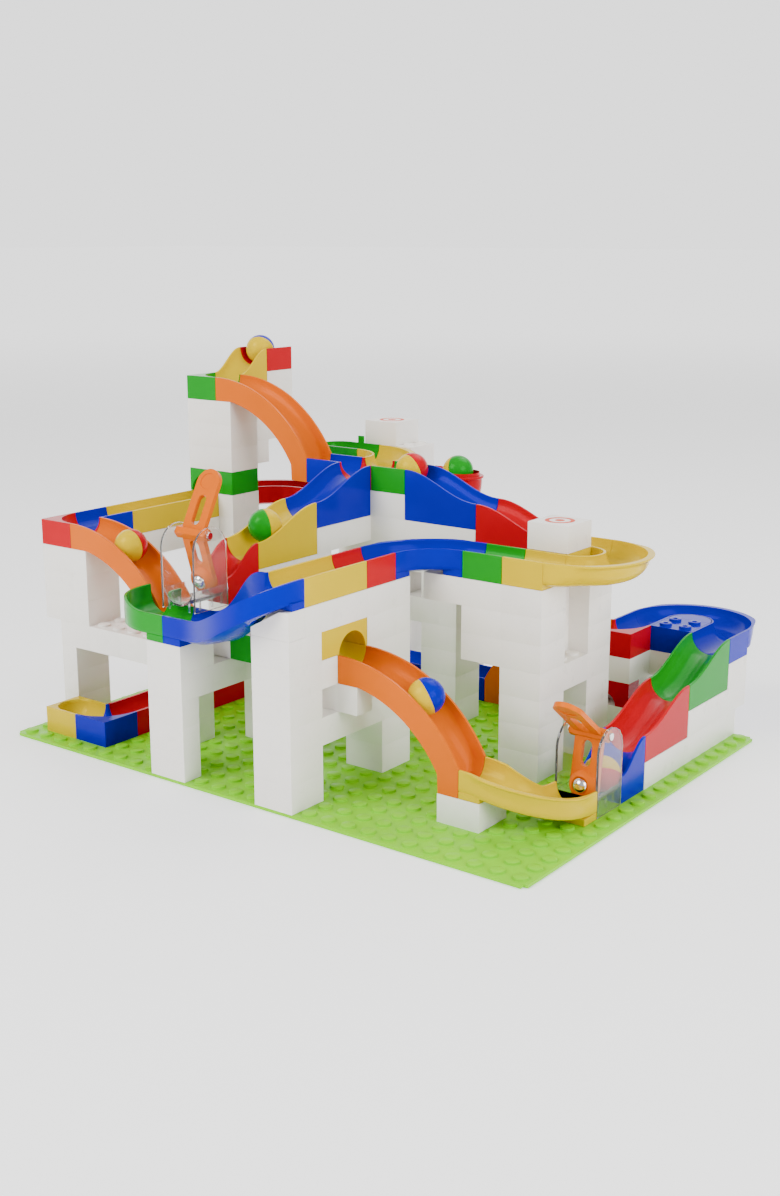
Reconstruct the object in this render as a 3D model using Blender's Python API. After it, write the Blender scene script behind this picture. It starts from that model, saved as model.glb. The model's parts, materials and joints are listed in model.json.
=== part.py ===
"""Marble run: studded base plate, white brick towers, snap-on track pieces, two finger levers and loose balls."""

import math

import bmesh
import bpy
from mathutils import Matrix, Vector

# ---- driving dimensions, millimetres -------------------------------------------------------
PITCH = 16.0          # stud spacing
BRICK = 19.2          # brick height
PLATE_I, PLATE_J = 28, 20
PLATE_T = 2.2         # base plate thickness
STUD_D, STUD_H = 9.4, 1.8
PLATE_CORNER_R = 3.0
GAP = 0.15            # every piece stands this far inside its grid cell
WALL = PITCH - GAP    # half width of a two-stud track
CHANNEL_R = 14.0      # radius of the ball channel
FLOOR = 14.4          # channel floor below the rim
BELLY = 16.8          # rounded underside below the rim
ARC_STEPS = 6         # segments across the channel
FLANGE = 3.0          # outward lip on the bends
SLIDE_R, SLIDE_FLOOR_R, SLIDE_UNDER_R = 109.0, 94.6, 91.5
SLIDE_LEN, SLIDE_STUDS, SLIDE_DROP = 96.0, 6, 3
BALL_D = 24.4
PIVOT_H = 51.0        # lever axis above the housing's underside
ARCH_TOP = 57.0       # top of the housing's cheeks above its underside
CHEEK = 1.8           # cheek thickness
LEVER_UP, LEVER_DOWN = 46.0, 34.5
LEVER_W, BOSS_R = 20.0, 10.5
AXLE_R, BORE_R = 2.3, 2.6
FOOT = 4.5           # height of the feet under the bends
MM = 0.001

LIME, WHITE, BLUE = (0.40, 0.70, 0.02), (0.80, 0.79, 0.77), (0.0, 0.07, 0.50)
RED, YELLOW, GREEN = (0.62, 0.01, 0.02), (0.95, 0.72, 0.0), (0.0, 0.32, 0.04)
ORANGE, CLEAR = (0.96, 0.26, 0.01), (0.9, 0.93, 0.95)

for old in list(bpy.data.objects):
    bpy.data.objects.remove(old, do_unlink=True)
PARTS = bpy.data.collections.new("marble_run")
CUTTERS = bpy.data.collections.new("cutters")
bpy.context.scene.collection.children.link(PARTS)
bpy.context.scene.collection.children.link(CUTTERS)
CUTTERS.hide_render = True


# ---- grid and object helpers ---------------------------------------------------------------
def gx(i):
    return PITCH * i - PITCH * PLATE_I / 2


def gy(j):
    return PITCH * j - PITCH * PLATE_J / 2


def gz(k):
    return PLATE_T + BRICK * k


def material(name, colour):
    mat = bpy.data.materials.new(name)
    mat.use_nodes = True
    shader = mat.node_tree.nodes["Principled BSDF"]
    shader.inputs["Base Color"].default_value = (*colour, 1.0)
    shader.inputs["Roughness"].default_value = 0.25
    if colour == CLEAR:
        shader.inputs["Transmission Weight"].default_value = 0.9
    return mat


def add_object(name, bm, colour=None, smooth=False):
    """Turns a millimetre bmesh into a node, or into a cutter when no colour is given."""
    bmesh.ops.recalc_face_normals(bm, faces=bm.faces)
    bmesh.ops.scale(bm, vec=(MM, MM, MM), verts=bm.verts)
    mesh = bpy.data.meshes.new(name)
    bm.to_mesh(mesh)
    bm.free()
    obj = bpy.data.objects.new(name, mesh)
    if colour is None:
        CUTTERS.objects.link(obj)
        obj.hide_render = True
        obj.display_type = "WIRE"
    else:
        PARTS.objects.link(obj)
        mesh.materials.append(material(name, colour))
        for face in mesh.polygons:
            face.use_smooth = smooth
    return obj


def boolean(obj, other, operation):
    mod = obj.modifiers.new(operation.lower(), "BOOLEAN")
    mod.operation = operation
    mod.solver = "EXACT"
    mod.object = other


def new_box(x0, x1, y0, y1, z0, z1):
    bm = bmesh.new()
    bmesh.ops.create_cube(bm, size=1.0)
    bmesh.ops.scale(bm, vec=(x1 - x0, y1 - y0, z1 - z0), verts=bm.verts)
    bmesh.ops.translate(bm, vec=((x0 + x1) / 2, (y0 + y1) / 2, (z0 + z1) / 2), verts=bm.verts)
    return bm


def grid_box(i0, i1, j0, j1, k0, k1, grow=0.0):
    inset = GAP - grow
    return new_box(gx(i0) + inset, gx(i1) - inset, gy(j0) + inset, gy(j1) - inset, gz(k0) + inset, gz(k1) - inset)


def new_cylinder(centre, radius, depth, axis="Z", sides=24, turn=0.0):
    bm = bmesh.new()
    bmesh.ops.create_cone(bm, cap_ends=True, segments=sides, radius1=radius, radius2=radius, depth=depth)
    if turn:
        bmesh.ops.rotate(bm, cent=(0, 0, 0), matrix=rotation("Z", turn), verts=bm.verts)
    if axis != "Z":
        bmesh.ops.rotate(bm, cent=(0, 0, 0), matrix=rotation("Y" if axis == "X" else "X", 90), verts=bm.verts)
    bmesh.ops.translate(bm, vec=centre, verts=bm.verts)
    return bm


def rotation(axis, degrees):
    return Matrix.Rotation(math.radians(degrees), 3, axis)


def merged(pieces):
    """Several closed shapes in one bmesh; used only where they don't meet."""
    whole = bmesh.new()
    for bm in pieces:
        mesh = bpy.data.meshes.new("piece")
        bm.to_mesh(mesh)
        bm.free()
        whole.from_mesh(mesh)
        bpy.data.meshes.remove(mesh)
    return whole


def stud_shapes(cells, k, sides=8, height=STUD_H):
    shapes = []
    for i, j in cells:
        base = gz(k) - GAP
        centre = (gx(i), gy(j), base + (height - 0.6) / 2 + 0.0)
        shapes.append(new_cylinder(centre, STUD_D / 2, height + 0.6, sides=sides, turn=180 / sides))
    return shapes


def stacked(boxes):
    """Outer skin of overlapping grid boxes: the boxes' own faces cut space into cells, and cells facing air get a face."""
    spans = []
    for i0, i1, j0, j1, k0, k1 in boxes:
        low = (gx(i0) + GAP, gy(j0) + GAP, gz(k0) + GAP)
        high = (gx(i1) - GAP, gy(j1) - GAP, gz(k1) - GAP)
        spans.append([(round(a, 4), round(b, 4)) for a, b in zip(low, high)])
    levels = [sorted({v for span in spans for v in span[axis]}) for axis in range(3)]
    filled = set()
    for span in spans:
        x, y, z = [range(levels[n].index(span[n][0]), levels[n].index(span[n][1])) for n in range(3)]
        filled |= {(a, b, c) for a in x for b in y for c in z}
    bm = bmesh.new()
    points = {}

    def point(index):
        if index not in points:
            points[index] = bm.verts.new([levels[n][index[n]] for n in range(3)])
        return points[index]

    for cell in sorted(filled):
        for axis in range(3):
            for side in (0, 1):
                beside = list(cell)
                beside[axis] += 2 * side - 1
                if tuple(beside) in filled:
                    continue
                ring = []
                for u, v in ((0, 0), (1, 0), (1, 1), (0, 1)):
                    corner_index = list(cell)
                    corner_index[axis] += side
                    corner_index[(axis + 1) % 3] += u
                    corner_index[(axis + 2) % 3] += v
                    ring.append(point(tuple(corner_index)))
                bm.faces.new(ring if side else ring[::-1])
    bmesh.ops.dissolve_limit(bm, angle_limit=0.01, verts=bm.verts, edges=bm.edges)
    return bm


def bricks(name, colour, boxes, studs=(), cuts=()):
    """Union of grid boxes that overlap, with studs on open tops and openings cut out."""
    obj = add_object(name, stacked(boxes), colour)
    if studs:
        shapes = []
        for k, cells in studs:
            shapes += stud_shapes(cells, k)
        boolean(obj, add_object(f"{name}.studs", merged(shapes)), "UNION")
    for n, cut in enumerate(cuts):
        boolean(obj, add_object(f"{name}.cut{n}", cut), "DIFFERENCE")
    return obj


# ---- track sections and sweeps -------------------------------------------------------------
def channel_points(rim, floor, tall=False):
    """Inner wall from the right rim down round the floor to the left rim."""
    pts = []
    for n in range(ARC_STEPS + 1):
        a = math.pi * n / ARC_STEPS
        pts.append((CHANNEL_R * math.cos(a), floor + CHANNEL_R - CHANNEL_R * math.sin(a)))
    if tall:
        return [(CHANNEL_R, rim)] + pts + [(-CHANNEL_R, rim)]
    pts[0], pts[-1] = (CHANNEL_R, rim), (-CHANNEL_R, rim)
    return pts


def box_section(rim, floor, base, tall=False):
    outer = [(-WALL, rim), (-WALL, base), (WALL, base), (WALL, rim)]
    return outer + channel_points(rim, floor, tall)


def shell_section(rim, lip_l, lip_r, left=WALL, right=WALL, drop=FLOOR, rise=None):
    """Outside of a bend: upright walls with an outward lip on either side and a rounded belly.

    rise, where given, is how far the right wall's rim stands above the left one's."""
    low, base = rim - drop - 0.3, rim - drop - BELLY + FLOOR
    if rise is not None:
        return [
            (-left, rim), (-left, low), (-left * 0.58, base), (right * 0.58, base), (right, low),
            (right, rim + rise), (right * 0.9, rim + rise), (-right * 0.9, rim),
        ]
    return [
        (-left - lip_l, rim),
        (-left - lip_l, rim - 1.8),
        (-left, rim - 2.4 - lip_l * 0.5),
        (-left, low),
        (-left * 0.58, base),
        (right * 0.58, base),
        (right, low),
        (right, rim - 2.4 - lip_r * 0.5),
        (right + lip_r, rim - 1.8),
        (right + lip_r, rim),
    ]


def sweep(stations):
    """stations: (x, y, heading angle in degrees, section); the section's left is the left of the heading."""
    bm = bmesh.new()
    rings = []
    for x, y, heading, section in stations:
        a = math.radians(heading)
        nx, ny = math.sin(a), -math.cos(a)
        rings.append([bm.verts.new((x + nx * t, y + ny * t, z)) for t, z in section])
    for first, second in zip(rings, rings[1:]):
        count = len(first)
        for n in range(count):
            m = (n + 1) % count
            bm.faces.new((first[n], first[m], second[m], second[n]))
    bm.faces.new(rings[0])
    bm.faces.new(list(reversed(rings[-1])))
    return bm


def straight(name, colour, start, end, k):
    """Two-stud-wide track from start to end (grid centreline points) with its base at level k."""
    (i0, j0), (i1, j1) = start, end
    heading = math.degrees(math.atan2(j1 - j0, i1 - i0))
    ux, uy = math.cos(math.radians(heading)), math.sin(math.radians(heading))
    rim, base = gz(k + 1) - GAP, gz(k) + GAP
    section = box_section(rim, rim - FLOOR, base)
    ends = [
        (gx(i0) + ux * GAP, gy(j0) + uy * GAP, heading, section),
        (gx(i1) - ux * GAP, gy(j1) - uy * GAP, heading, section),
    ]
    return add_object(name, sweep(ends), colour)


def wave(name, colour, low, high, k, steps=10):
    """Ramp whose rim climbs one brick along half a cosine, from the low end to the high end."""
    (i0, j0), (i1, j1) = low, high
    heading = math.degrees(math.atan2(j1 - j0, i1 - i0))
    ux, uy = math.cos(math.radians(heading)), math.sin(math.radians(heading))
    length = PITCH * math.hypot(i1 - i0, j1 - j0)
    stations = []
    for n in range(steps + 1):
        s = n / steps
        run = GAP + s * (length - 2 * GAP)
        rim = gz(k + 1) + BRICK * (0.5 - 0.5 * math.cos(math.pi * s)) - GAP
        section = box_section(rim, rim - FLOOR, gz(k) + GAP)
        stations.append((gx(i0) + ux * run, gy(j0) + uy * run, heading, section))
    return add_object(name, sweep(stations), colour)


def slide(name, colour, top, heading, k):
    """Steep chute: rim, floor and underside are concentric arcs; one-stud feet at both ends."""
    ux, uy = math.cos(math.radians(heading)), math.sin(math.radians(heading))
    rim0, foot = gz(k), gz(k - SLIDE_DROP - 1) + GAP
    runs = [GAP, 15.7, 16.0, 29, 42, 53, 62, 70, 76, 79.7, 80.3, 88, SLIDE_LEN - GAP]
    stations = []
    for run in runs:
        rim = rim0 - GAP - SLIDE_R + math.sqrt(SLIDE_R**2 - run**2)
        inner = SLIDE_FLOOR_R**2 - run**2
        floor = rim0 - SLIDE_R + math.sqrt(inner) if inner > 0 else -1e3
        floor = max(floor, rim0 - SLIDE_DROP * BRICK - FLOOR)
        under = rim0 - SLIDE_R + math.sqrt(max(SLIDE_UNDER_R**2 - run**2, 0.0))
        if run < 15.9:
            base = rim0 - BRICK + GAP
        elif run > 80.0:
            base = foot
        else:
            base = under
        section = box_section(rim, floor, base, tall=True)
        stations.append((gx(top[0]) + ux * run, gy(top[1]) + uy * run, heading, section))
    return add_object(name, sweep(stations), colour)


def half_pipe(points, k, reach=6.0):
    """Cutter for a level channel along centreline points (x, y, heading) with the rim at level k."""
    rim = gz(k) - GAP
    return pipe_cutter([(x, y, heading, rim, rim - FLOOR) for x, y, heading in points], reach)


def pipe_cutter(points, reach=6.0):
    """Cutter for a channel along (x, y, heading, rim, floor)."""
    stations = []
    for x, y, heading, rim, floor in points:
        section = [(-CHANNEL_R, rim + reach), (CHANNEL_R, rim + reach)] + channel_points(rim, floor)[1:-1]
        stations.append((x, y, heading, section))
    return sweep(stations)


def routed(name, colour, plan, feet=(), right=WALL, reach=6.0):
    """Bend along stations (x, y, heading, rim, lip_l, lip_r[, rise]), on feet (i0, i1, j0, j1, k), channel cut last."""
    outside = []
    for x, y, h, rim, lip_l, lip_r, *rise in plan:
        section = shell_section(rim, lip_l, lip_r, right=right, rise=rise[0] if rise else None)
        outside.append((x, y, h, section))
    obj = add_object(name, sweep(outside), colour)
    for n, (i0, i1, j0, j1, k) in enumerate(feet):
        foot = new_box(gx(i0) + GAP, gx(i1) - GAP, gy(j0) + GAP, gy(j1) - GAP, gz(k) + GAP, gz(k) + FOOT)
        boolean(obj, add_object(f"{name}.foot{n}", foot), "UNION")
    path = [(x, y, h, rim, rim - FLOOR) for x, y, h, rim, *_ in plan]
    boolean(obj, add_object(name + ".channel", pipe_cutter(lengthened(path), reach)), "DIFFERENCE")
    return obj


def lengthened(path, by=4.0):
    """The path with both ends carried straight on."""
    first, last = path[0], path[-1]
    a, b = math.radians(first[2]), math.radians(last[2])
    head = (first[0] - by * math.cos(a), first[1] - by * math.sin(a), *first[2:])
    tail = (last[0] + by * math.cos(b), last[1] + by * math.sin(b), *last[2:])
    return [head, *path, tail]


def corner(name, colour, i0, j0, k, inner, steps=8):
    """Two by two block with a quarter-turn channel round the given inner corner (0 or 1, 0 or 1)."""
    obj = add_object(name, grid_box(i0, i0 + 2, j0, j0 + 2, k, k + 1), colour)
    cx, cy = gx(i0 + 2 * inner[0]), gy(j0 + 2 * inner[1])
    sx, sy = 1 - 2 * inner[0], 1 - 2 * inner[1]
    points = []
    for n in range(-1, steps + 2):
        a = math.radians(90 * min(max(n, 0), steps) / steps)
        px, py = cx + sx * PITCH * math.cos(a), cy + sy * PITCH * math.sin(a)
        hx, hy = -sx * math.sin(a), sy * math.cos(a)
        if n < 0:
            py -= sy * 4.0
        elif n > steps:
            px -= sx * 4.0
        points.append((px, py, math.degrees(math.atan2(hy, hx))))
    boolean(obj, add_object(name + ".channel", half_pipe(points, k + 1)), "DIFFERENCE")
    return obj


def tunnel(name, colour, box, axis, centre, radius, floor_k):
    """Brick with an arched ball tunnel through it."""
    obj = add_object(name, grid_box(*box), colour)
    i0, i1, j0, j1, k0, k1 = box
    length = PITCH * (max(i1 - i0, j1 - j0) + 2)
    z = gz(floor_k)
    arch = new_cylinder((gx(centre[0]), gy(centre[1]), z), radius, length, axis=axis, sides=28)
    boolean(obj, add_object(name + ".arch", arch), "DIFFERENCE")
    return obj


def arc_path(centre, radius, start, end, steps):
    """Stations on an arc round a grid point: (x, y, heading, fraction)."""
    path = []
    sign = 1 if end > start else -1
    for n in range(steps + 1):
        a = math.radians(start + (end - start) * n / steps)
        x, y = gx(centre[0]) + PITCH * radius * math.cos(a), gy(centre[1]) + PITCH * radius * math.sin(a)
        path.append((x, y, math.degrees(a) + 90 * sign, n / steps))
    return path


def lip_at(s, full=FLANGE):
    """Lip width along a bend: it grows from nothing at both ends."""
    return full * max(0.0, min(1.0, 6.0 * (s - 0.12), 6.0 * (0.88 - s)))


def bend(name, colour, centre, radius, start, end, k, feet=(), steps=9):
    """Large level bend with a lip outside and feet standing on the bricks below."""
    rim = gz(k + 1) - GAP
    plan = []
    for x, y, heading, s in arc_path(centre, radius, start, end, steps):
        a, slip = math.radians(heading), (GAP if s == 0 else -GAP if s == 1 else 0.0)
        lip = lip_at(s)
        lips = (0.0, lip) if end > start else (lip, 0.0)
        plan.append((x + slip * math.cos(a), y + slip * math.sin(a), heading, rim, *lips))
    return routed(name, colour, plan, feet)


def end_tray(name, colour, i0, i1, j0, k, closed_high, base_k=None, lip=0.0, square=False):
    """Track end whose channel closes in a half-round bowl, round or square outside; the channel runs along i."""
    rim, base = gz(k + 1) - GAP, gz(k if base_k is None else base_k) + GAP
    round_i = i1 - 1 if closed_high else i0 + 1
    cx, cy = gx(round_i), gy(j0 + 1)
    x0, x1 = (gx(i0) + GAP, cx) if closed_high else (cx, gx(i1) - GAP)
    back = (x0, cx + WALL) if closed_high else (cx - WALL, x1)
    span = back if square else (x0, x1)
    obj = add_object(name, new_box(*span, cy - WALL, cy + WALL, base, rim), colour)
    mid = (base + rim) / 2
    if not square:
        boolean(obj, add_object(name + ".end", new_cylinder((cx, cy, mid), WALL, rim - base, sides=32)), "UNION")
    if lip:
        ring = new_cylinder((cx, cy, rim - 1.0), WALL + lip, 2.0, sides=32)
        boolean(obj, add_object(name + ".lip", ring), "UNION")
    far = x0 - 4 if closed_high else x1 + 4
    heading = 0 if far < cx else 180
    pipe = half_pipe([(far, cy, heading), (cx, cy, heading)], k + 1)
    bowl = bmesh.new()
    bmesh.ops.create_uvsphere(bowl, u_segments=24, v_segments=12, radius=CHANNEL_R)
    bmesh.ops.translate(bowl, vec=(cx, cy, rim - FLOOR + CHANNEL_R), verts=bowl.verts)
    well = new_cylinder((cx, cy, rim + 2.8), CHANNEL_R, 6.4, sides=24)
    for tag, bm in (("pipe", pipe), ("bowl", bowl), ("well", well)):
        boolean(obj, add_object(f"{name}.{tag}", bm), "DIFFERENCE")
    return obj


def drop_plan():
    """Stations of the two-brick drop: a tight quarter turn, then an easy sideways shift onto the gate."""
    centre = []
    for n in range(9):
        a = math.radians(-90 * n / 8)
        centre.append((15 + math.cos(a), 1 + math.sin(a), math.degrees(a) - 90))
    for n in range(1, 9):
        i = 15 - 4 * n / 8
        turn = math.pi * (15 - i) / 4
        heading = 180 - math.degrees(math.atan(0.125 * math.pi * math.sin(turn)))
        centre.append((i, 0.5 - 0.5 * math.cos(turn), heading))
    centre.append((10, 1, 180))
    outer = [(x - math.sin(math.radians(h)), y + math.cos(math.radians(h))) for x, y, h in centre]
    run = [0.0]
    for (x0, y0), (x1, y1) in zip(outer, outer[1:]):
        run.append(run[-1] + math.hypot(x1 - x0, y1 - y0))
    plan = []
    for n, (i, j, heading) in enumerate(centre):
        s = min(run[n] / run[-2], 1.0)
        rim = gz(7 + math.cos(math.pi * s)) - GAP
        inner = max(0.0, min(1.0, (15 - i) / 4)) ** 1.2
        rise = gz(7 + math.cos(math.pi * inner)) - GAP - rim
        x = gx(i) + (GAP if n == len(centre) - 1 else 0.0)
        y = gy(j) - (GAP if n == 0 else 0.0)
        plan.append((x, y, heading, rim, 0.0, 0.0, max(rise, 0.0)))
    return plan


DROP_INNER = 15.2     # half width of the drop bend towards its tight inner side


def drop_clearance():
    """Wedge taken off the wall's top where the drop bend dips below it."""
    profile = [(gx(15) - 1, gz(6.27)), (gx(16.5), gz(6.96)), (gx(16.5), gz(7) + 1.3), (gx(15) - 1, gz(7) + 1.3)]
    bm = bmesh.new()
    rings = [[bm.verts.new((x, y, z)) for x, z in profile] for y in (gy(-0.1), gy(1.1))]
    for n in range(4):
        m = (n + 1) % 4
        bm.faces.new((rings[0][n], rings[0][m], rings[1][m], rings[1][n]))
    bm.faces.new(rings[0][::-1])
    bm.faces.new(rings[1])
    return bm


# ---- base plate ----------------------------------------------------------------------------
COVERED = [
    (1, 5, 1, 3), (3, 5, 3, 19), (5, 16, 17, 19), (20, 24, 17, 19), (0, 2, 3, 5), (0, 2, 13, 15),
    (7, 8, 4, 5), (9, 11, 0, 1), (9, 11, 6, 8), (15, 17, 0, 2), (15, 17, 6, 8), (14, 16, 13, 15),
    (21, 23, 9, 15), (22, 24, 3, 5), (25, 27, 6, 20), (6, 9, 19, 20), (21, 27, 19, 20), (9, 11, 13, 15),
    (11, 13, 19, 20),
]


def open_cells():
    cells = []
    for i in range(PLATE_I):
        for j in range(PLATE_J):
            if not any(a <= i < b and c <= j < d for a, b, c, d in COVERED):
                cells.append((i + 0.5, j + 0.5))
    return cells


def base_plate():
    width, depth = PITCH * PLATE_I / 2, PITCH * PLATE_J / 2
    bm = new_box(-width, width, -depth, depth, 0.0, PLATE_T)
    upright = [e for e in bm.edges if abs(e.verts[0].co.z - e.verts[1].co.z) > 1.0]
    bmesh.ops.bevel(bm, geom=upright, offset=PLATE_CORNER_R, segments=4, affect="EDGES")
    obj = add_object("base_plate", bm, LIME)
    shapes = []
    for i, j in open_cells():
        centre = (gx(i), gy(j), PLATE_T + (STUD_H - 0.8) / 2)
        shapes.append(new_cylinder(centre, STUD_D / 2, STUD_H + 0.8, sides=6, turn=30))
    boolean(obj, add_object("base_plate.studs", merged(shapes)), "UNION")


base_plate()

# ---- white brick structures ----------------------------------------------------------------
bricks(
    "left_tower", WHITE,
    [
        (0, 1, 3, 5, 0, 3.5), (0, 9.5, 3, 5, 3, 4), (-1, 2, 3, 5, 4, 6), (-1, 2, 3, 4, 4, 7), (1, 2, 3, 5, 4, 7),
        (0, 2, 3, 5, 3, 5), (7, 8, 4, 5, 0, 3.5),
        (-1, 1, 3.5, 14, 6, 7), (-1, 2, 13, 15, 4, 7), (0, 2, 13, 15, 0, 5), (1, 2, 13, 15, 6, 8),
        (9, 11, 0, 1, 0, 5), (9, 11, 0, 2, 4, 5), (9, 11, 0.5, 7, 3, 4), (9, 11, 6, 8, 0, 4),
    ],
    studs=[(4, [(i + 0.5, j + 0.5) for i in (2, 3, 4, 5) for j in (3, 4)])],
)
bricks(
    "start_tower_top", WHITE,
    [(-1, 2, 13, 15, 9, 12), (-1, 1, 13, 17, 9, 12), (-1, 1, 14, 19, 10, 12), (-1, 1, 17, 19, 10, 13)],
)
niche = grid_box(16, 18, 2, 3, 3, 4, grow=0.3)
bricks(
    "front_wall", WHITE,
    [
        (15, 17, 0, 2, 0, 7), (15, 17, 1, 8, 2, 4), (15, 17, 6, 8, 0, 3), (15, 17, 5, 8, 3, 7),
        (15, 17, 1, 3, 3, 5), (15, 17, 1, 6, 6, 7), (16.5, 18, 3, 4, 3, 4),
    ],
    cuts=[niche, drop_clearance()],
)
bricks("catch_block", WHITE, [(22, 24, 3, 5, 0, 1)])
bricks(
    "centre_wall", WHITE,
    [
        (6, 9, 19, 20, 0, 10), (6, 9, 19, 21, 9, 10), (6, 8, 19, 21, 9, 11), (6, 13, 19, 20, 6, 8),
        (11, 13, 19, 20, 0, 8), (11, 13, 14, 18, 6, 7), (11, 13, 17, 20, 6, 8),
        (14, 16, 13, 15, 0, 7), (9, 16, 13, 15, 4, 5), (9, 13, 13, 15, 4, 9),
        (9, 11, 13, 15, 0, 5), (9, 11, 9, 14, 7, 8), (9, 11, 9, 10, 6, 8), (9, 11, 5, 10, 6, 7), (9, 11, 6, 8, 4, 7),
        (16, 22, 13, 15, 6, 7), (13, 17, 13, 15, 6, 8), (21, 23, 9, 11, 0, 7), (21, 23, 13, 15, 0, 7), (21, 23, 9, 15, 3, 4), (21, 22, 9, 15, 3, 7), (19, 23, 9, 11, 4, 7), (17, 23, 9, 11, 6, 7),
    ],
    studs=[(10, [(8.5, 19.5), (8.5, 20.5)]), (4, [(22.5, 11.5), (22.5, 12.5)])],
)
bricks(
    "right_wall", WHITE,
    [
        (25, 27, 11, 20, 0, 1), (25, 27, 15, 20, 0, 2), (25, 27, 17, 21, 1, 2), (25, 27, 19, 21, 1, 3),
        (21, 27, 19, 21, 2, 3), (21, 23, 17, 21, 2, 3), (21, 23, 17, 20, 0, 3),
    ],
    cuts=[new_cylinder((gx(21.5), gy(17), gz(1)), 11.0, 30.0, axis="Y", sides=24)],
)
bricks("top_cap", WHITE, [(21, 23, 11, 13, 8, 9)])

# ---- starting line, upper left -------------------------------------------------------------
straight("start_track_red", RED, (0, 19), (0, 17), 13)
wave("start_ramp_yellow", YELLOW, (0, 15), (0, 17), 12, steps=8)
corner("start_corner_green", GREEN, -1, 13, 12, (1, 1))
slide("slide_upper_orange", ORANGE, (1, 14), 0, 13)
straight("track_blue_upper", BLUE, (7, 14), (9, 14), 9)
crossing = add_object("crossing_red", grid_box(9, 11, 13, 15, 9, 10), RED)
for axis, ends in (("x", [(8.5, 14, 0), (11.5, 14, 0)]), ("y", [(10, 12.5, 90), (10, 15.5, 90)])):
    path = [(gx(i), gy(j), heading) for i, j, heading in ends]
    boolean(crossing, add_object(f"crossing_red.{axis}", half_pipe(path, 10)), "DIFFERENCE")
straight("track_green_upper", GREEN, (11, 14), (13, 14), 9)
bend("bend_yellow_upper", YELLOW, (7, 15), 3, 90, 0, 9, feet=[(7, 8, 17, 19, 9), (9, 11, 15, 16, 9)])
end_green = end_tray("end_track_green", GREEN, 4, 7, 17, 9, closed_high=False)
tab = new_box(gx(5.6), gx(5.95), gy(19) - GAP - 1.8, gy(19) - GAP, gz(9.8), gz(10.3))
boolean(end_green, add_object("end_track_green.tab", tab), "UNION")

# ---- ramps and the high line ---------------------------------------------------------------
wave("ramp_left_blue", BLUE, (10, 9), (10, 13), 8)
wave("ramp_left_yellow", YELLOW, (10, 5), (10, 9), 7)
wave("ramp_left_red", RED, (10, 3), (10, 5), 6, steps=8)
wave("ramp_centre_blue", BLUE, (17, 14), (13, 14), 8)
wave("ramp_centre_red", RED, (21, 14), (17, 14), 7)


def u_turn(name, colour, centre, block, k, side, studs=()):
    """Half-circle track on a flat block; side is the heading of the way in."""
    rim = gz(k + 1) - GAP
    i0, i1, j0, j1 = block
    leg = PITCH * ((i1 - i0) if side == 0 else (j1 - j0))
    a = math.radians(side)
    ux, uy = math.cos(a), math.sin(a)
    plan = [(x, y, h, rim, 0.0, lip_at(s)) for x, y, h, s in arc_path(centre, 2, side - 90, side + 90, 12)]
    first, last = plan[0], plan[-1]
    start = (first[0] - ux * 3.0, first[1] - uy * 3.0, side, rim, 0.0, 0.0)
    stop = (last[0] - ux * 3.0, last[1] - uy * 3.0, side + 180, rim, 0.0, 0.0)
    plan = [start, *plan, stop]
    obj = add_object(name, sweep([(x, y, h, shell_section(r, ll, lr)) for x, y, h, r, ll, lr in plan]), colour)
    boolean(obj, add_object(name + ".block", grid_box(i0, i1, j0, j1, k, k + 1)), "UNION")
    if studs:
        boolean(obj, add_object(name + ".studs", merged(stud_shapes(studs, k + 1))), "UNION")
    path = [(x, y, h, r, r - FLOOR) for x, y, h, r, _, _ in plan]
    cutter = pipe_cutter(lengthened(path, leg + 2.0))
    boolean(obj, add_object(name + ".channel", cutter), "DIFFERENCE")
    return obj


u_turn("turn_yellow", YELLOW, (23, 12), (21, 23, 9, 15), 7, 0)
straight("track_green_high", GREEN, (21, 10), (19, 10), 7)
bend("bend_blue_high", BLUE, (19, 7), 3, 90, 180, 7, feet=[(18, 19, 9, 11, 7), (15, 17, 7, 8, 7)])
straight("track_red_high", RED, (16, 7), (16, 5), 7)
straight("track_yellow_high", YELLOW, (16, 5), (16, 1), 7)


def small_bend():
    """Quarter turn below the left lever, its guard walls rising a little."""
    centre = [(10, 1, 180, 0.0), (9.0, 1, 180, 0.0), (8.7, 1, 180, 0.2)]
    for n in range(1, 9):
        a = math.radians(270 - 90 * n / 8)
        x, y = 8.7 + 1.5 * math.cos(a), 2.5 + 1.5 * math.sin(a)
        centre.append((x, y, math.degrees(a) - 90, min(1.0, 0.2 + 0.2 * n)))
    centre.append((7.2, 2.96, 90, 1.0))
    floor = gz(6) - GAP - FLOOR
    outside, path = [], []
    for n, (i, j, heading, rise) in enumerate(centre):
        rim = gz(6) - GAP + 4.8 * rise
        x, y = gx(i) - (GAP if n == 0 else 0.0), gy(j)
        outside.append((x, y, heading, shell_section(rim, 0.0, 0.0, drop=rim - floor)))
        path.append((x, y, heading, rim, floor))
    obj = add_object("bend_green_low", sweep(outside), GREEN)
    foot = new_box(gx(9) + GAP, gx(10) - GAP, gy(0) + GAP, gy(2) - GAP, gz(5) + GAP, gz(5) + FOOT)
    boolean(obj, add_object("bend_green_low.foot", foot), "UNION")
    boolean(obj, add_object("bend_green_low.channel", pipe_cutter(lengthened(path))), "DIFFERENCE")


drop_feet = [(15, 17, 0.25, 1, 7), (10, 11, 0, 2, 5)]
routed("drop_bend_blue", BLUE, drop_plan(), feet=drop_feet, right=DROP_INNER, reach=28.0)
small_bend()

# ---- left rail -----------------------------------------------------------------------------
tunnel("tunnel_green", GREEN, (-1, 2, 13, 15, 8, 9), "Y", (0, 14), 13.6, 8)


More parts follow.
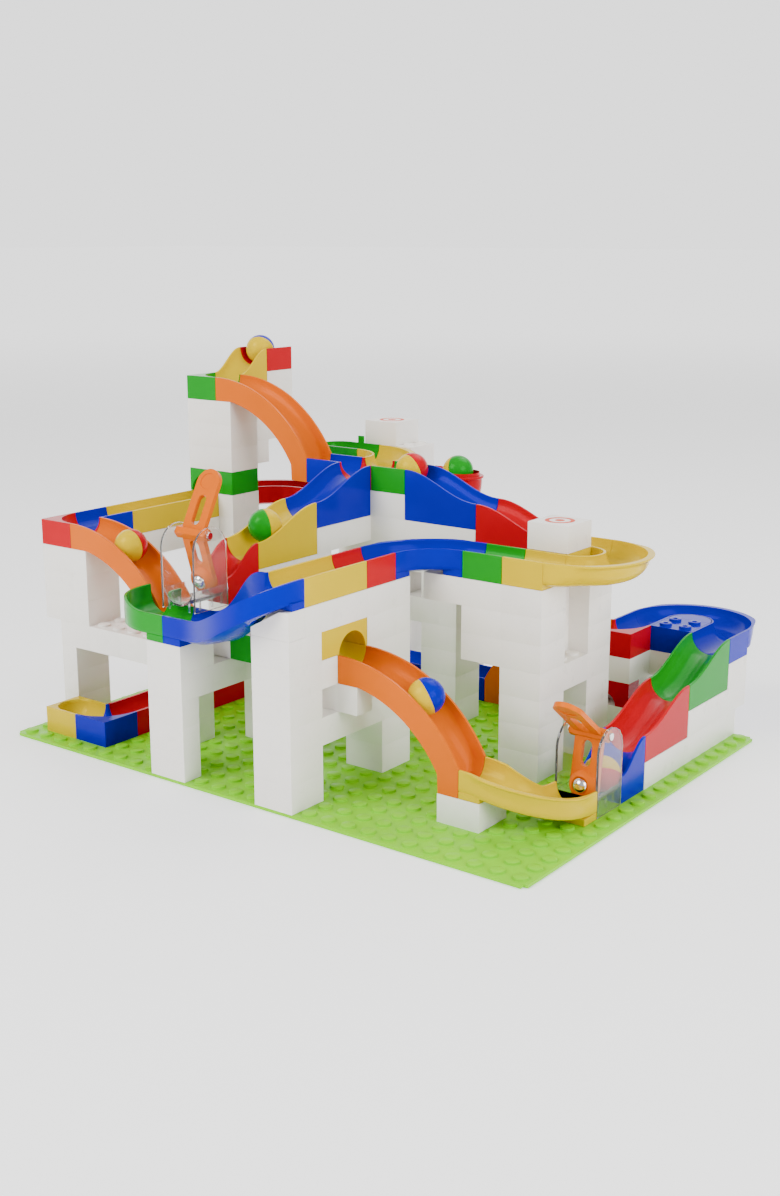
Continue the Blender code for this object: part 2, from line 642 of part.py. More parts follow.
def red_return():
    """Raised cup at the back, straight run and large bend into the green tunnel."""
    rim = gz(8) - GAP
    plan = [(gx(9.5), gy(18), 180, rim, 0.0, 0.0)]
    for x, y, heading, s in arc_path((3, 15), 3, 90, 180, 9):
        plan.append((x, y + (GAP if s == 1 else 0.0), heading, rim, 0.0, lip_at(s)))
    obj = add_object("return_track_red", sweep([(x, y, h, shell_section(r, ll, lr)) for x, y, h, r, ll, lr in plan]), RED)
    brim, top = gz(9.5) - GAP, gz(9.25) - GAP
    cx, cy = gx(13), gy(18)
    tall = top - gz(8) - GAP
    shapes = (
        new_box(gx(9) + GAP, gx(11), cy - WALL, cy + WALL, gz(7) + 2.4, gz(8.6)),
        new_box(gx(10.6), cx, cy - WALL, cy + WALL, gz(8) + GAP, top),
        new_cylinder((cx, cy, top - tall / 2), WALL, tall, sides=32),
        new_cylinder((cx, cy, top - 1.0), WALL + 1.2, 2.0, sides=32),
    )
    for n, bm in enumerate(shapes):
        boolean(obj, add_object(f"return_track_red.body{n}", bm), "UNION")
    bowl = bmesh.new()
    bmesh.ops.create_uvsphere(bowl, u_segments=24, v_segments=12, radius=CHANNEL_R)
    bmesh.ops.translate(bowl, vec=(cx, cy, brim - FLOOR + CHANNEL_R), verts=bowl.verts)
    low = [(x, y, h, r, r - FLOOR) for x, y, h, r, _, _ in plan]
    low[0] = (gx(9.9), *low[0][1:])
    upper = half_pipe([(gx(9.6), 0.0, 0), (cx, 0.0, 0)], 9.5, reach=8.0)
    bmesh.ops.scale(upper, vec=(1.0, 0.985, 1.0), verts=upper.verts)
    bmesh.ops.translate(upper, vec=(0, cy, 0), verts=upper.verts)
    hollows = (
        pipe_cutter(lengthened(low), reach=30.0),
        upper,
        bowl,
        new_cylinder((cx, cy, brim + 3.8), CHANNEL_R - 0.02, 8.4, sides=24),
    )
    for n, bm in enumerate(hollows):
        boolean(obj, add_object(f"return_track_red.hollow{n}", bm), "DIFFERENCE")


red_return()
straight("rail_yellow", YELLOW, (0, 15), (0, 7), 7)
straight("rail_blue", BLUE, (0, 7), (0, 5), 7)
corner("rail_corner_red", RED, -1, 3, 7, (1, 1))
slide("slide_left_orange", ORANGE, (1, 4), 0, 8)
straight("track_link", GREEN, (7, 4), (17, 4), 4)
tunnel("tunnel_yellow", YELLOW, (15, 17, 2, 5.0, 5, 6), "X", (16, 4), 14.0, 4.95)
slide("slide_front_orange", ORANGE, (17, 4), 0, 5)


def catch_bend():
    """Quarter turn from the front slide down to the right lever."""
    centre = [(23, 4, 0)]
    for n in range(10):
        a = math.radians(-90 + 10 * n)
        centre.append((24 + 2 * math.cos(a), 6 + 2 * math.sin(a), math.degrees(a) + 90))
    centre.append((26, 7, 90))
    plan, run = [], 0.0
    for n, (i, j, heading) in enumerate(centre):
        if n:
            run += math.hypot(i - centre[n - 1][0], j - centre[n - 1][1])
        s = min(run / (2 + math.pi), 1.0)
        rim = gz(1.5 + 0.5 * math.cos(math.pi * s)) - GAP
        x = gx(i) + (GAP if n == 0 else 0.0)
        y = gy(j) - (GAP if n == len(centre) - 1 else 0.0)
        plan.append((x, y, heading, rim, 0.0, lip_at(s, 2.0)))
    routed("catch_bend_yellow", YELLOW, plan, feet=[(23, 24, 3, 5, 1), (25, 27, 6, 7, 0)])


catch_bend()

# ---- right side ----------------------------------------------------------------------------
wave("ramp_right_blue", BLUE, (26, 9), (26, 11), 0, steps=8)
wave("ramp_right_red", RED, (26, 11), (26, 15), 1)
wave("ramp_right_green", GREEN, (26, 15), (26, 19), 2)
four = [(i + 0.5, j + 0.5) for i in (23, 24) for j in (19, 20)]
u_turn("turn_blue", BLUE, (24, 21), (21, 27, 19, 21), 3, 90, four)
corner("corner_red_right", RED, 21, 17, 3, (0, 1))
slide("slide_back_orange", ORANGE, (21, 18), 180, 4)

# ---- ground run ----------------------------------------------------------------------------
straight("ground_track_blue", BLUE, (15, 18), (5, 18), 0)


def ground_red():
    """Red run along the left edge with its quarter turn at the back."""
    rim, base = gz(1) - GAP, gz(0) + GAP
    section = box_section(rim, rim - FLOOR, base)
    obj = add_object("ground_track_red", sweep([(gx(4), gy(3) + GAP, 90, section), (gx(4), gy(17.2), 90, section)]), RED)
    block = new_box(gx(3) + GAP, gx(5) - GAP, gy(17), gy(19) - GAP, base, rim)
    boolean(obj, add_object("ground_track_red.turn", block), "UNION")
    path = []
    for n in range(-1, 10):
        a = math.radians(90 + 90 * min(max(n, 0), 8) / 8)
        x, y = gx(5) + PITCH * math.cos(a), gy(17) + PITCH * math.sin(a)
        if n < 0:
            x += 4.0
        if n > 8:
            y -= 4.0
        path.append((x, y, math.degrees(a) + 90))
    boolean(obj, add_object("ground_track_red.channel", half_pipe(path, 1)), "DIFFERENCE")


ground_red()
corner("ground_corner_blue", BLUE, 3, 1, 0, (0, 1))
end_tray("end_tray_yellow", YELLOW, 1, 3, 1, 0, closed_high=False, square=True)


# ---- levers --------------------------------------------------------------------------------
def housing(name, i, j, k):
    """Clear track block with an arch-topped cheek on either side that carries the lever's axle."""
    x, y, z = gx(i), gy(j), gz(k) + GAP
    rim = gz(k + 1) - GAP
    section = box_section(rim, rim - FLOOR, z)
    obj = add_object(name, sweep([(x, y - WALL, 90, section), (x, y + WALL, 90, section)]), CLEAR)
    for n, side in enumerate((-1, 1)):
        cx = x + side * (WALL - CHEEK / 2)
        profile = [(-WALL, rim - 3.0 - z), (WALL, rim - 3.0 - z)]
        for m in range(13):
            a = math.pi * m / 12
            profile.append((WALL * math.cos(a), ARCH_TOP - WALL + WALL * math.sin(a)))
        cheek = bmesh.new()
        rings = [[cheek.verts.new((cx + t, y + u, z + v)) for u, v in profile] for t in (-CHEEK / 2, CHEEK / 2)]
        for m in range(len(profile)):
            w = (m + 1) % len(profile)
            cheek.faces.new((rings[0][m], rings[0][w], rings[1][w], rings[1][m]))
        cheek.faces.new(rings[0][::-1])
        cheek.faces.new(rings[1])
        boolean(obj, add_object(f"{name}.cheek{n}", cheek), "UNION")
    bore = new_cylinder((x, y, z + PIVOT_H), BORE_R, 2 * WALL + 8, axis="X", sides=16)
    boolean(obj, add_object(name + ".bore", bore), "DIFFERENCE")


def arm(length, width, thick, slot, tip_radius, slot_end):
    """Flat arm along +Z from the axle with a round tip and a long slot, centred on the axle."""
    bm = new_box(-width / 2, width / 2, -thick / 2, thick / 2, 0.0, length - tip_radius)
    tip = new_cylinder((0, 0, length - tip_radius), tip_radius, thick, axis="Y", sides=18)
    hole = new_box(-slot / 2, slot / 2, -thick, thick, 6.0, slot_end)
    return bm, tip, hole


def lever(name, i, j, k, up, down):
    """Finger lever; up and down are the arms' angles from vertical, positive towards +Y."""
    origin = Vector((gx(i), gy(j), gz(k) + GAP + PIVOT_H))
    obj = add_object(name, new_cylinder((0, 0, 0), AXLE_R, 2 * WALL - 0.4, axis="X", sides=16), ORANGE)
    obj.location = origin * MM
    bar = new_box(-13.6, 13.6, -4.0, 4.0, -4.0, 4.0)
    boolean(obj, placed(name + ".bar", bar, obj), "UNION")
    reach = LEVER_DOWN + BOSS_R
    for tag, angle, length, width, thick, radius, slot_end in (
        ("up", -up, LEVER_UP, LEVER_W, 3.4, LEVER_W / 2 + 0.15, 27.0),
        ("down", 180 + down, reach, LEVER_W - 0.6, 3.7, BOSS_R, 22.0),
    ):
        body, tip, hole = arm(length, width, thick, 7.6, radius, slot_end)
        for piece, bm, operation in (("body", body, "UNION"), ("tip", tip, "UNION"), ("slot", hole, "DIFFERENCE")):
            bmesh.ops.rotate(bm, cent=(0, 0, 0), matrix=rotation("X", angle), verts=bm.verts)
            boolean(obj, placed(f"{name}.{tag}_{piece}", bm, obj), operation)
    face = new_cylinder((0, 0, -LEVER_DOWN), BOSS_R - 1.0, 6.0, axis="Y", sides=18)
    bmesh.ops.rotate(face, cent=(0, 0, 0), matrix=rotation("X", down), verts=face.verts)
    boolean(obj, placed(name + ".striker", face, obj), "UNION")


def placed(name, bm, owner):
    cutter = add_object(name, bm)
    cutter.location = owner.location
    return cutter


housing("housing_left", 10, 2, 6)
housing("housing_right", 26, 8, 0)
lever("lever_left", 10, 2, 6, 28, 16)
lever("lever_right", 26, 8, 0, -52, -9)


# ---- balls ---------------------------------------------------------------------------------
def ball(name, i, j, k, colour):
    bm = bmesh.new()
    bmesh.ops.create_uvsphere(bm, u_segments=12, v_segments=8, radius=BALL_D / 2)
    obj = add_object(name, bm, colour, smooth=True)
    obj.location = Vector((gx(i), gy(j), gz(k))) * MM


ball("ball_yellow_blue_start", 0, 17.6, 13.9, YELLOW)
ball("ball_yellow_red_slide", 4.0, 4, 7.31, YELLOW)
ball("ball_green_yellow_ramp", 10, 6.55, 8.34, GREEN)
ball("ball_yellow_red_upper", 12.7, 14, 9.9, YELLOW)
ball("ball_green_yellow_cup", 12.6, 18, 9.4, GREEN)
ball("ball_blue_yellow_slide", 20.75, 4, 3.94, BLUE)
ball("ball_red_yellow_lever", 26, 9.06, 0.925, RED)
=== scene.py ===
import json
import math

import bmesh
import bpy
from mathutils import Matrix, Vector

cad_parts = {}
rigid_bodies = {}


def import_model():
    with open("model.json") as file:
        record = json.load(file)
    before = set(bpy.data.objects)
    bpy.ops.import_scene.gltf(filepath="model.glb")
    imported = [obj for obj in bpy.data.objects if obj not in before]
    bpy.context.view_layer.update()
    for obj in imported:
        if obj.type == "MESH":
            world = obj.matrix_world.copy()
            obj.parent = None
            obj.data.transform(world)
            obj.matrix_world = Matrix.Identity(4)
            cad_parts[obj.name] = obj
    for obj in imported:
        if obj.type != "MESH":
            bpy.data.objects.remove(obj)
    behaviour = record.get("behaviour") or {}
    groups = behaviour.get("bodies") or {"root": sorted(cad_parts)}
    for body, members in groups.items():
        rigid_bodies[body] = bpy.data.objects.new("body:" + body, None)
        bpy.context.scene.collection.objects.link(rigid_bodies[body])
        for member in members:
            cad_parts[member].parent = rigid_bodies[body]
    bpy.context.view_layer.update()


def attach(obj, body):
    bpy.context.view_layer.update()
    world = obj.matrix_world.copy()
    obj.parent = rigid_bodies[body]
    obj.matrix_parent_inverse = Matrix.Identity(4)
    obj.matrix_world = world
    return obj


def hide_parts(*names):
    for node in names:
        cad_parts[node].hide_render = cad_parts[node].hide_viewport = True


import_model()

# ---- sizes, millimetres ----------------------------------------------------------------------
MM = 0.001
PITCH, BRICK, PLATE_T = 16.0, 19.2, 2.2
PLATE_I, PLATE_J = 28, 20
STUD_R, STUD_H = 4.7, 1.8
GAP = 0.09
WALL = PITCH - GAP
CHANNEL_R, FLOOR, BELLY = 14.0, 14.4, 16.8
ARC = 24
FLANGE = 3.0
LIP_EDGE, LIP_ROOT = 1.1, 1.7
SLIDE_R, SLIDE_FLOOR_R, SLIDE_UNDER_R = 109.0, 94.6, 91.5
SLIDE_LEN, SLIDE_DROP = 96.0, 3
BALL_R = 12.2
PIVOT_H, ARCH_TOP, CHEEK, BORE_R = 51.0, 57.0, 1.8, 2.6
LEVER_UP, LEVER_DOWN, BOSS_R = 46.0, 34.5, 10.0
FOOT = 4.9
EDGE = 0.45
SEAM, SEAM_EDGE = 0.01, 0.1
ROOT = "track_and_bricks"


def gx(i):
    return PITCH * i - PITCH * PLATE_I / 2


def gy(j):
    return PITCH * j - PITCH * PLATE_J / 2


def gz(k):
    return PLATE_T + BRICK * k


# ---- materials -------------------------------------------------------------------------------
def node(tree, kind, **inputs):
    made = tree.nodes.new(kind)
    for key, value in inputs.items():
        made.inputs[key.replace("_", " ")].default_value = value
    return made


def uneven_gloss(tree, shader, place, scale, detail, low, high):
    """Noise between two roughness values, as faint wipe marks."""
    smear = node(tree, "ShaderNodeTexNoise", Scale=scale, Detail=detail)
    tree.links.new(place.outputs["Object"], smear.inputs["Vector"])
    gloss = tree.nodes.new("ShaderNodeMapRange")
    gloss.inputs["To Min"].default_value = low
    gloss.inputs["To Max"].default_value = high
    tree.links.new(smear.outputs["Fac"], gloss.inputs["Value"])
    tree.links.new(gloss.outputs["Result"], shader.inputs["Roughness"])
    return smear


def plastic(name, colour, rough=0.2, tint=0.05):
    """Glossy moulded plastic: faint colour drift, uneven gloss and a fine orange-peel surface."""
    mat = bpy.data.materials.new(name)
    mat.use_nodes = True
    tree = mat.node_tree
    shader = tree.nodes["Principled BSDF"]
    place = tree.nodes.new("ShaderNodeTexCoord")
    drift = node(tree, "ShaderNodeTexNoise", Scale=22.0, Detail=3.0, Roughness=0.6)
    tree.links.new(place.outputs["Object"], drift.inputs["Vector"])
    ramp = tree.nodes.new("ShaderNodeValToRGB")
    low = [c * (1.0 - tint) for c in colour]
    high = [min(1.0, c * (1.0 + tint * 0.6)) for c in colour]
    ramp.color_ramp.elements[0].position, ramp.color_ramp.elements[1].position = 0.35, 0.65
    ramp.color_ramp.elements[0].color = (*low, 1.0)
    ramp.color_ramp.elements[1].color = (*high, 1.0)
    tree.links.new(drift.outputs["Fac"], ramp.inputs["Fac"])
    tree.links.new(ramp.outputs["Color"], shader.inputs["Base Color"])
    smear = uneven_gloss(tree, shader, place, 90.0, 4.0, rough * 0.75, rough * 1.35)
    smear.inputs["Roughness"].default_value = 0.55
    peel = node(tree, "ShaderNodeTexNoise", Scale=650.0, Detail=2.0)
    tree.links.new(place.outputs["Object"], peel.inputs["Vector"])
    dent = node(tree, "ShaderNodeBump", Strength=0.02, Distance=0.0004)
    tree.links.new(peel.outputs["Fac"], dent.inputs["Height"])
    tree.links.new(dent.outputs["Normal"], shader.inputs["Normal"])
    shader.inputs["IOR"].default_value = 1.5
    shader.inputs["Specular IOR Level"].default_value = 0.19
    strongest = max(colour)
    sheen = [0.12 + 0.88 * c / strongest for c in colour]
    shader.inputs["Specular Tint"].default_value = (*sheen, 1.0)
    return mat


def clear_plastic(name):
    """Clear moulded acrylic with faint wipe marks in the gloss."""
    mat = bpy.data.materials.new(name)
    mat.use_nodes = True
    tree = mat.node_tree
    shader = tree.nodes["Principled BSDF"]
    place = tree.nodes.new("ShaderNodeTexCoord")
    uneven_gloss(tree, shader, place, 60.0, 5.0, 0.015, 0.07)
    shader.inputs["Base Color"].default_value = (0.97, 0.985, 0.99, 1.0)
    shader.inputs["Transmission Weight"].default_value = 0.97
    shader.inputs["IOR"].default_value = 1.3
    return mat


def chrome(name):
    """Polished metal with faint wipe marks in the gloss."""
    mat = bpy.data.materials.new(name)
    mat.use_nodes = True
    tree = mat.node_tree
    shader = tree.nodes["Principled BSDF"]
    place = tree.nodes.new("ShaderNodeTexCoord")
    uneven_gloss(tree, shader, place, 300.0, 3.0, 0.04, 0.12)
    shader.inputs["Base Color"].default_value = (0.86, 0.86, 0.85, 1.0)
    shader.inputs["Metallic"].default_value = 1.0
    return mat


MATS = {
    "lime": plastic("lime_plastic", (0.21, 0.60, 0.0), 0.3),
    "white": plastic("white_plastic", (0.86, 0.83, 0.78), 0.28, tint=0.02),
    "blue": plastic("blue_plastic", (0.0, 0.002, 0.36), 0.16),
    "red": plastic("red_plastic", (0.46, 0.0, 0.008), 0.17),
    "yellow": plastic("yellow_plastic", (0.62, 0.43, 0.0), 0.18, tint=0.03),
    "green": plastic("green_plastic", (0.0, 0.25, 0.012), 0.17),
    "orange": plastic("orange_plastic", (0.66, 0.125, 0.0), 0.2, tint=0.03),
    "print": plastic("orange_print", (0.72, 0.06, 0.01), 0.45, tint=0.1),
    "clear": clear_plastic("clear_plastic"),
    "chrome": chrome("chrome_dome"),
}


# ---- shape helpers ---------------------------------------------------------------------------
def link(name, bm, mats, bevel=EDGE, sharp=32.0, segments=2):
    """A millimetre bmesh as a smooth-shaded object with softened edges."""
    bmesh.ops.scale(bm, vec=(MM, MM, MM), verts=bm.verts)
    mesh = bpy.data.meshes.new(name)
    bm.to_mesh(mesh)
    bm.free()
    obj = bpy.data.objects.new(name, mesh)
    bpy.context.scene.collection.objects.link(obj)
    for mat in mats if isinstance(mats, (list, tuple)) else [mats]:
        mesh.materials.append(MATS[mat])
    for face in mesh.polygons:
        face.use_smooth = True
    mesh.set_sharp_from_angle(angle=math.radians(sharp))
    if bevel:
        mod = obj.modifiers.new("soft_edges", "BEVEL")
        mod.width = bevel * MM
        mod.segments = segments
        mod.limit_method = "ANGLE"
        mod.angle_limit = math.radians(38)
        mod.harden_normals = True
        mod.use_clamp_overlap = True
    return obj


def joined(pieces, index=None):
    whole = bmesh.new()
    for n, bm in enumerate(pieces):
        bmesh.ops.recalc_face_normals(bm, faces=bm.faces)
        if index:
            for face in bm.faces:
                face.material_index = index[n]
        mesh = bpy.data.meshes.new("piece")
        bm.to_mesh(mesh)
        bm.free()
        whole.from_mesh(mesh)
        bpy.data.meshes.remove(mesh)
    return whole


def show(node_name, pieces, mats, body=ROOT, slot=None, index=None, **look):
    """The looks that stand for a CAD node."""
    obj = link(node_name + "_look", joined(pieces, index), mats, **look)
    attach(obj, body)
    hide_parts(node_name)
    return obj


def box(x0, x1, y0, y1, z0, z1):
    bm = bmesh.new()
    bmesh.ops.create_cube(bm, size=1.0)
    bmesh.ops.scale(bm, vec=(x1 - x0, y1 - y0, z1 - z0), verts=bm.verts)
    bmesh.ops.translate(bm, vec=((x0 + x1) / 2, (y0 + y1) / 2, (z0 + z1) / 2), verts=bm.verts)
    return bm


def grid_box(i0, i1, j0, j1, k0, k1, gap=GAP):
    return box(gx(i0) + gap, gx(i1) - gap, gy(j0) + gap, gy(j1) - gap, gz(k0) + gap, gz(k1) - gap)


def cylinder_x(centre, radius, depth, sides):
    """Solid cylinder whose axis lies along X."""
    bm = bmesh.new()
    bmesh.ops.create_cone(bm, cap_ends=True, segments=sides, radius1=radius, radius2=radius, depth=depth)
    turn = Matrix.Rotation(math.radians(90), 3, "Y")
    bmesh.ops.rotate(bm, cent=(0, 0, 0), matrix=turn, verts=bm.verts)
    bmesh.ops.translate(bm, vec=centre, verts=bm.verts)
    return bm


def turned(centre, profile, a0=0.0, a1=360.0, steps=32):
    """Profile (radius, z) carried round a vertical axis from angle a0 to a1, closed at both ends."""
    bm = bmesh.new()
    full = abs(a1 - a0) > 359.9
    rings = []
    for n in range(steps if full else steps + 1):
        a = math.radians(a0 + (a1 - a0) * n / steps)
        rings.append([
            bm.verts.new((centre[0] + r * math.cos(a), centre[1] + r * math.sin(a), z)) for r, z in profile
        ])
    pairs = list(zip(rings, rings[1:])) + ([(rings[-1], rings[0])] if full else [])
    for first, second in pairs:
        for n in range(len(profile)):
            m = (n + 1) % len(profile)
            if profile[n][0] == 0 and profile[m][0] == 0:
                continue
            bm.faces.new((first[n], first[m], second[m], second[n]))
    if not full:
        bm.faces.new(rings[0])
        bm.faces.new(rings[-1][::-1])
    bmesh.ops.remove_doubles(bm, verts=bm.verts, dist=1e-4)
    return bm


def stud(i, j, z, bore=0.0):
    """Stud with a fillet at its foot and a softened top edge, and a small blind hole where bore is given."""
    top, root, soft = z + STUD_H, 0.25, 0.4
    profile = [
        (0.0, z - soft), (STUD_R + root, z - soft), (STUD_R + root, z), (STUD_R, z + root),
        (STUD_R, top - soft), (STUD_R - 0.12, top - 0.12), (STUD_R - soft, top),
    ]
    if bore:
        profile += [(bore + 0.3, top), (bore, top - 0.3), (bore, z + 0.1), (0.0, z + 0.1)]
    else:
        profile.append((0.0, top))
    return turned((gx(i), gy(j)), profile, steps=28)


def sweep(stations):
    """Closed section carried along stations (x, y, heading in degrees, section).

    A section is a list of (t, z), where t is measured to the right of the heading.
    """
    bm = bmesh.new()
    rings = []
    for x, y, heading, section in stations:
        a = math.radians(heading)
        nx, ny = math.sin(a), -math.cos(a)
        rings.append([bm.verts.new((x + nx * t, y + ny * t, z)) for t, z in section])
    for first, second in zip(rings, rings[1:]):
        count = len(first)
        for n in range(count):
            m = (n + 1) % count
            bm.faces.new((first[n], first[m], second[m], second[n]))
    bm.faces.new(rings[0])
    bm.faces.new(list(reversed(rings[-1])))
    return bm


def extruded(outline, axis, start, end):
    """Closed outline (u, v) carried along an axis: u and v are the other two axes in X, Y, Z order."""
    bm = bmesh.new()
    rings = []
    for at in (start, end):
        ring = []
        for u, v in outline:
            point = {"X": (at, u, v), "Y": (u, at, v), "Z": (u, v, at)}[axis]
            ring.append(bm.verts.new(point))
        rings.append(ring)
    for n in range(len(outline)):
        m = (n + 1) % len(outline)
        bm.faces.new((rings[0][n], rings[0][m], rings[1][m], rings[1][n]))
    bm.faces.new(rings[0][::-1])
    bm.faces.new(rings[1])
    return bm


# ---- track sections --------------------------------------------------------------------------
def channel(rim, floor):
    """Inner wall from the right rim round the floor to the left rim."""
    pts = [(CHANNEL_R, rim)]
    for n in range(1, ARC):
        a = math.pi * n / ARC
        pts.append((CHANNEL_R * math.cos(a), floor + CHANNEL_R - CHANNEL_R * math.sin(a)))
    return pts + [(-CHANNEL_R, rim)]


def block_section(rim, floor, base, left=WALL, right=WALL):
    """Flat-sided block with a half-round channel in its top."""
    return [(-left, rim), (-left, base), (right, base), (right, rim)] + channel(rim, floor)


def tall_section(rim, floor, base):
    """For chutes, whose floor may lie well below the rim: upright walls, then the half-round."""
    pts = [(-WALL, rim), (-WALL, base), (WALL, base), (WALL, rim), (CHANNEL_R, rim)]
    for n in range(ARC + 1):
        a = math.pi * n / ARC
        pts.append((CHANNEL_R * math.cos(a), min(rim - 0.05, floor + CHANNEL_R - CHANNEL_R * math.sin(a))))
    return pts + [(-CHANNEL_R, rim)]


def gutter_section(rim, lip_l, lip_r, right=WALL, drop=FLOOR, soft=0.0, rise=0.0):
    """Bend: gutter with lips and an upright left side.

    soft takes the right side from upright (0.0) to a round belly (1.0), and rise is how far the right
    wall's rim stands above the left one's.
    """
    floor = rim - drop
    low, base = floor - 0.5, floor - (BELLY - FLOOR)
    under = rim - LIP_ROOT

    def side(reach, lip, round_part, sign, top):
        upright = [
            (reach, under - 3.5), (reach, under - 7.0), (reach, under - 9.5), (reach, low + 1.6),
            (reach - 0.5, low + 0.5), (reach - 1.6, low), (reach * 0.76, low * 0.45 + base * 0.55),
            (reach * 0.58, base),
        ]
        pts = [
            (sign * (reach + lip), top), (sign * (reach + lip), top - LIP_EDGE),
            (sign * (reach + lip * 0.55), top - LIP_ROOT),
        ]
        for n, (t, z) in enumerate(upright, 1):
            a = math.radians(10 * n)
            belly_t, belly_z = reach * math.cos(a), under - (under - base) * math.sin(a)
            pts.append((sign * (t + (belly_t - t) * round_part), z + (belly_z - z) * round_part))
        return pts

    inside = channel(rim, floor)
    inside[0] = (CHANNEL_R, rim + rise)
    return side(WALL, lip_l, 0.0, -1, rim) + side(right, lip_r, soft, 1, rim + rise)[::-1] + inside


# ---- track pieces ----------------------------------------------------------------------------
def straight_shape(start, end, k):
    """Level track between two grid points, its rim at the top of layer k."""
    (i0, j0), (i1, j1) = start, end
    heading = math.degrees(math.atan2(j1 - j0, i1 - i0))
    ux, uy = math.cos(math.radians(heading)), math.sin(math.radians(heading))
    rim, base = gz(k + 1) - GAP, gz(k) + GAP
    section = block_section(rim, rim - FLOOR, base)
    length = PITCH * math.hypot(i1 - i0, j1 - j0)
    cuts = max(2, int(length / 16))
    stations = []
    for n in range(cuts + 1):
        run = GAP + (length - 2 * GAP) * n / cuts
        stations.append((gx(i0) + ux * run, gy(j0) + uy * run, heading, section))
    return sweep(stations)


def wave_shape(low, high, k, steps):
    """Ramp that falls one brick from high to low in a smooth S."""
    (i0, j0), (i1, j1) = low, high
    heading = math.degrees(math.atan2(j1 - j0, i1 - i0))
    ux, uy = math.cos(math.radians(heading)), math.sin(math.radians(heading))
    length = PITCH * math.hypot(i1 - i0, j1 - j0)
    stations = []
    for n in range(steps + 1):
        s = n / steps
        run = GAP + s * (length - 2 * GAP)
        rim = gz(k + 1) + BRICK * (0.5 - 0.5 * math.cos(math.pi * s)) - GAP
        section = block_section(rim, rim - FLOOR, gz(k) + GAP)
        stations.append((gx(i0) + ux * run, gy(j0) + uy * run, heading, section))
    return sweep(stations)


def slide_shape(top, heading, k):
    """Quarter-round chute that falls three bricks from top along heading."""
    ux, uy = math.cos(math.radians(heading)), math.sin(math.radians(heading))
    rim0, foot = gz(k), gz(k - SLIDE_DROP - 1) + GAP
    head_end, arc_start, arc_end, tail_start = 15.7, 16.0, 79.7, 80.3
    runs = [GAP + (head_end - GAP) * n / 4 for n in range(5)]
    runs += [arc_start + (arc_end - arc_start) * n / 36 for n in range(37)]
    runs += [tail_start + (SLIDE_LEN - GAP - tail_start) * n / 10 for n in range(11)]
    stations = []
    for run in runs:
        rim = rim0 - GAP - SLIDE_R + math.sqrt(SLIDE_R**2 - run**2)
        inner = SLIDE_FLOOR_R**2 - run**2
        floor = rim0 - SLIDE_R + math.sqrt(inner) if inner > 0 else -1e3
        floor = max(floor, rim0 - SLIDE_DROP * BRICK - FLOOR)
        under = rim0 - SLIDE_R + math.sqrt(max(SLIDE_UNDER_R**2 - run**2, 0.0))
        base = under
        if run <= head_end + 0.1:
            base = rim0 - BRICK + GAP
        elif run >= tail_start - 0.1:
            base = foot
        section = tall_section(rim, floor, base)
        stations.append((gx(top[0]) + ux * run, gy(top[1]) + uy * run, heading, section))
    return sweep(stations)


def corner_shape(i0, j0, k, inner, steps=24):
    """Two by two block with a quarter-turn channel round the given inner corner (0 or 1, 0 or 1)."""
    cx, cy = gx(i0 + 2 * inner[0]), gy(j0 + 2 * inner[1])
    start = {(0, 0): 0, (1, 0): 90, (1, 1): 180, (0, 1): 270}[inner]
    rim, base = gz(k + 1) - GAP, gz(k) + GAP
    stations = []
    for n in range(steps + 1):
        step = 90 * n / steps
        a = math.radians(step)
        reach = (2 * PITCH - GAP) / max(math.cos(a), math.sin(a)) - PITCH
        theta = math.radians(start + step)
        x, y = cx + PITCH * math.cos(theta), cy + PITCH * math.sin(theta)
        section = block_section(rim, rim - FLOOR, base, left=PITCH - 0.3, right=reach)
        stations.append((x, y, start + step + 90, section))
    return sweep(stations)


def arc_path(centre, radius, start, end, steps):
    """(x, y, heading, share of the way) round an arc; centre and radius are in studs, angles in degrees."""
    path = []
    sign = 1 if end > start else -1
    for n in range(steps + 1):
        a = math.radians(start + (end - start) * n / steps)
        x, y = gx(centre[0]) + PITCH * radius * math.cos(a), gy(centre[1]) + PITCH * radius * math.sin(a)
        path.append((x, y, math.degrees(a) + 90 * sign, n / steps))
    return path


def lip_at(s, full=FLANGE):
    """Lip width at share s of a bend: none at either end, full in between."""
    t = max(0.0, min(1.0, 7.0 * (s - 0.1), 7.0 * (0.9 - s)))
    return full * t * t * (3 - 2 * t)


def foot_box(i0, i1, j0, j1, k):
    """Low block that carries the end of a bend."""
    inset = GAP + 0.04
    return box(gx(i0) + inset, gx(i1) - inset, gy(j0) + inset, gy(j1) - inset, gz(k) + GAP, gz(k) + FOOT)


def bend_shapes(centre, radius, start, end, k, feet, steps=36):
    """Level gutter round an arc, with its lip on the outside, and its feet."""
    rim = gz(k + 1) - GAP
    stations = []
    for x, y, heading, s in arc_path(centre, radius, start, end, steps):
        a, slip = math.radians(heading), (GAP if s == 0 else -GAP if s == 1 else 0.0)
        lips = (0.0, lip_at(s)) if end > start else (lip_at(s), 0.0)
        section = gutter_section(rim, *lips)
        stations.append((x + slip * math.cos(a), y + slip * math.sin(a), heading, section))
    return [sweep(stations)] + [foot_box(*foot) for foot in feet]


def bowl_profile(floor):
    """Quarter circle (radius, z) from the middle of a bowl's floor up its side."""
    profile = [(0.0, floor)]
    for n in range(1, 13):
        a = math.radians(90 * n / 13)
        profile.append((CHANNEL_R * math.sin(a), floor + CHANNEL_R - CHANNEL_R * math.cos(a)))
    return profile


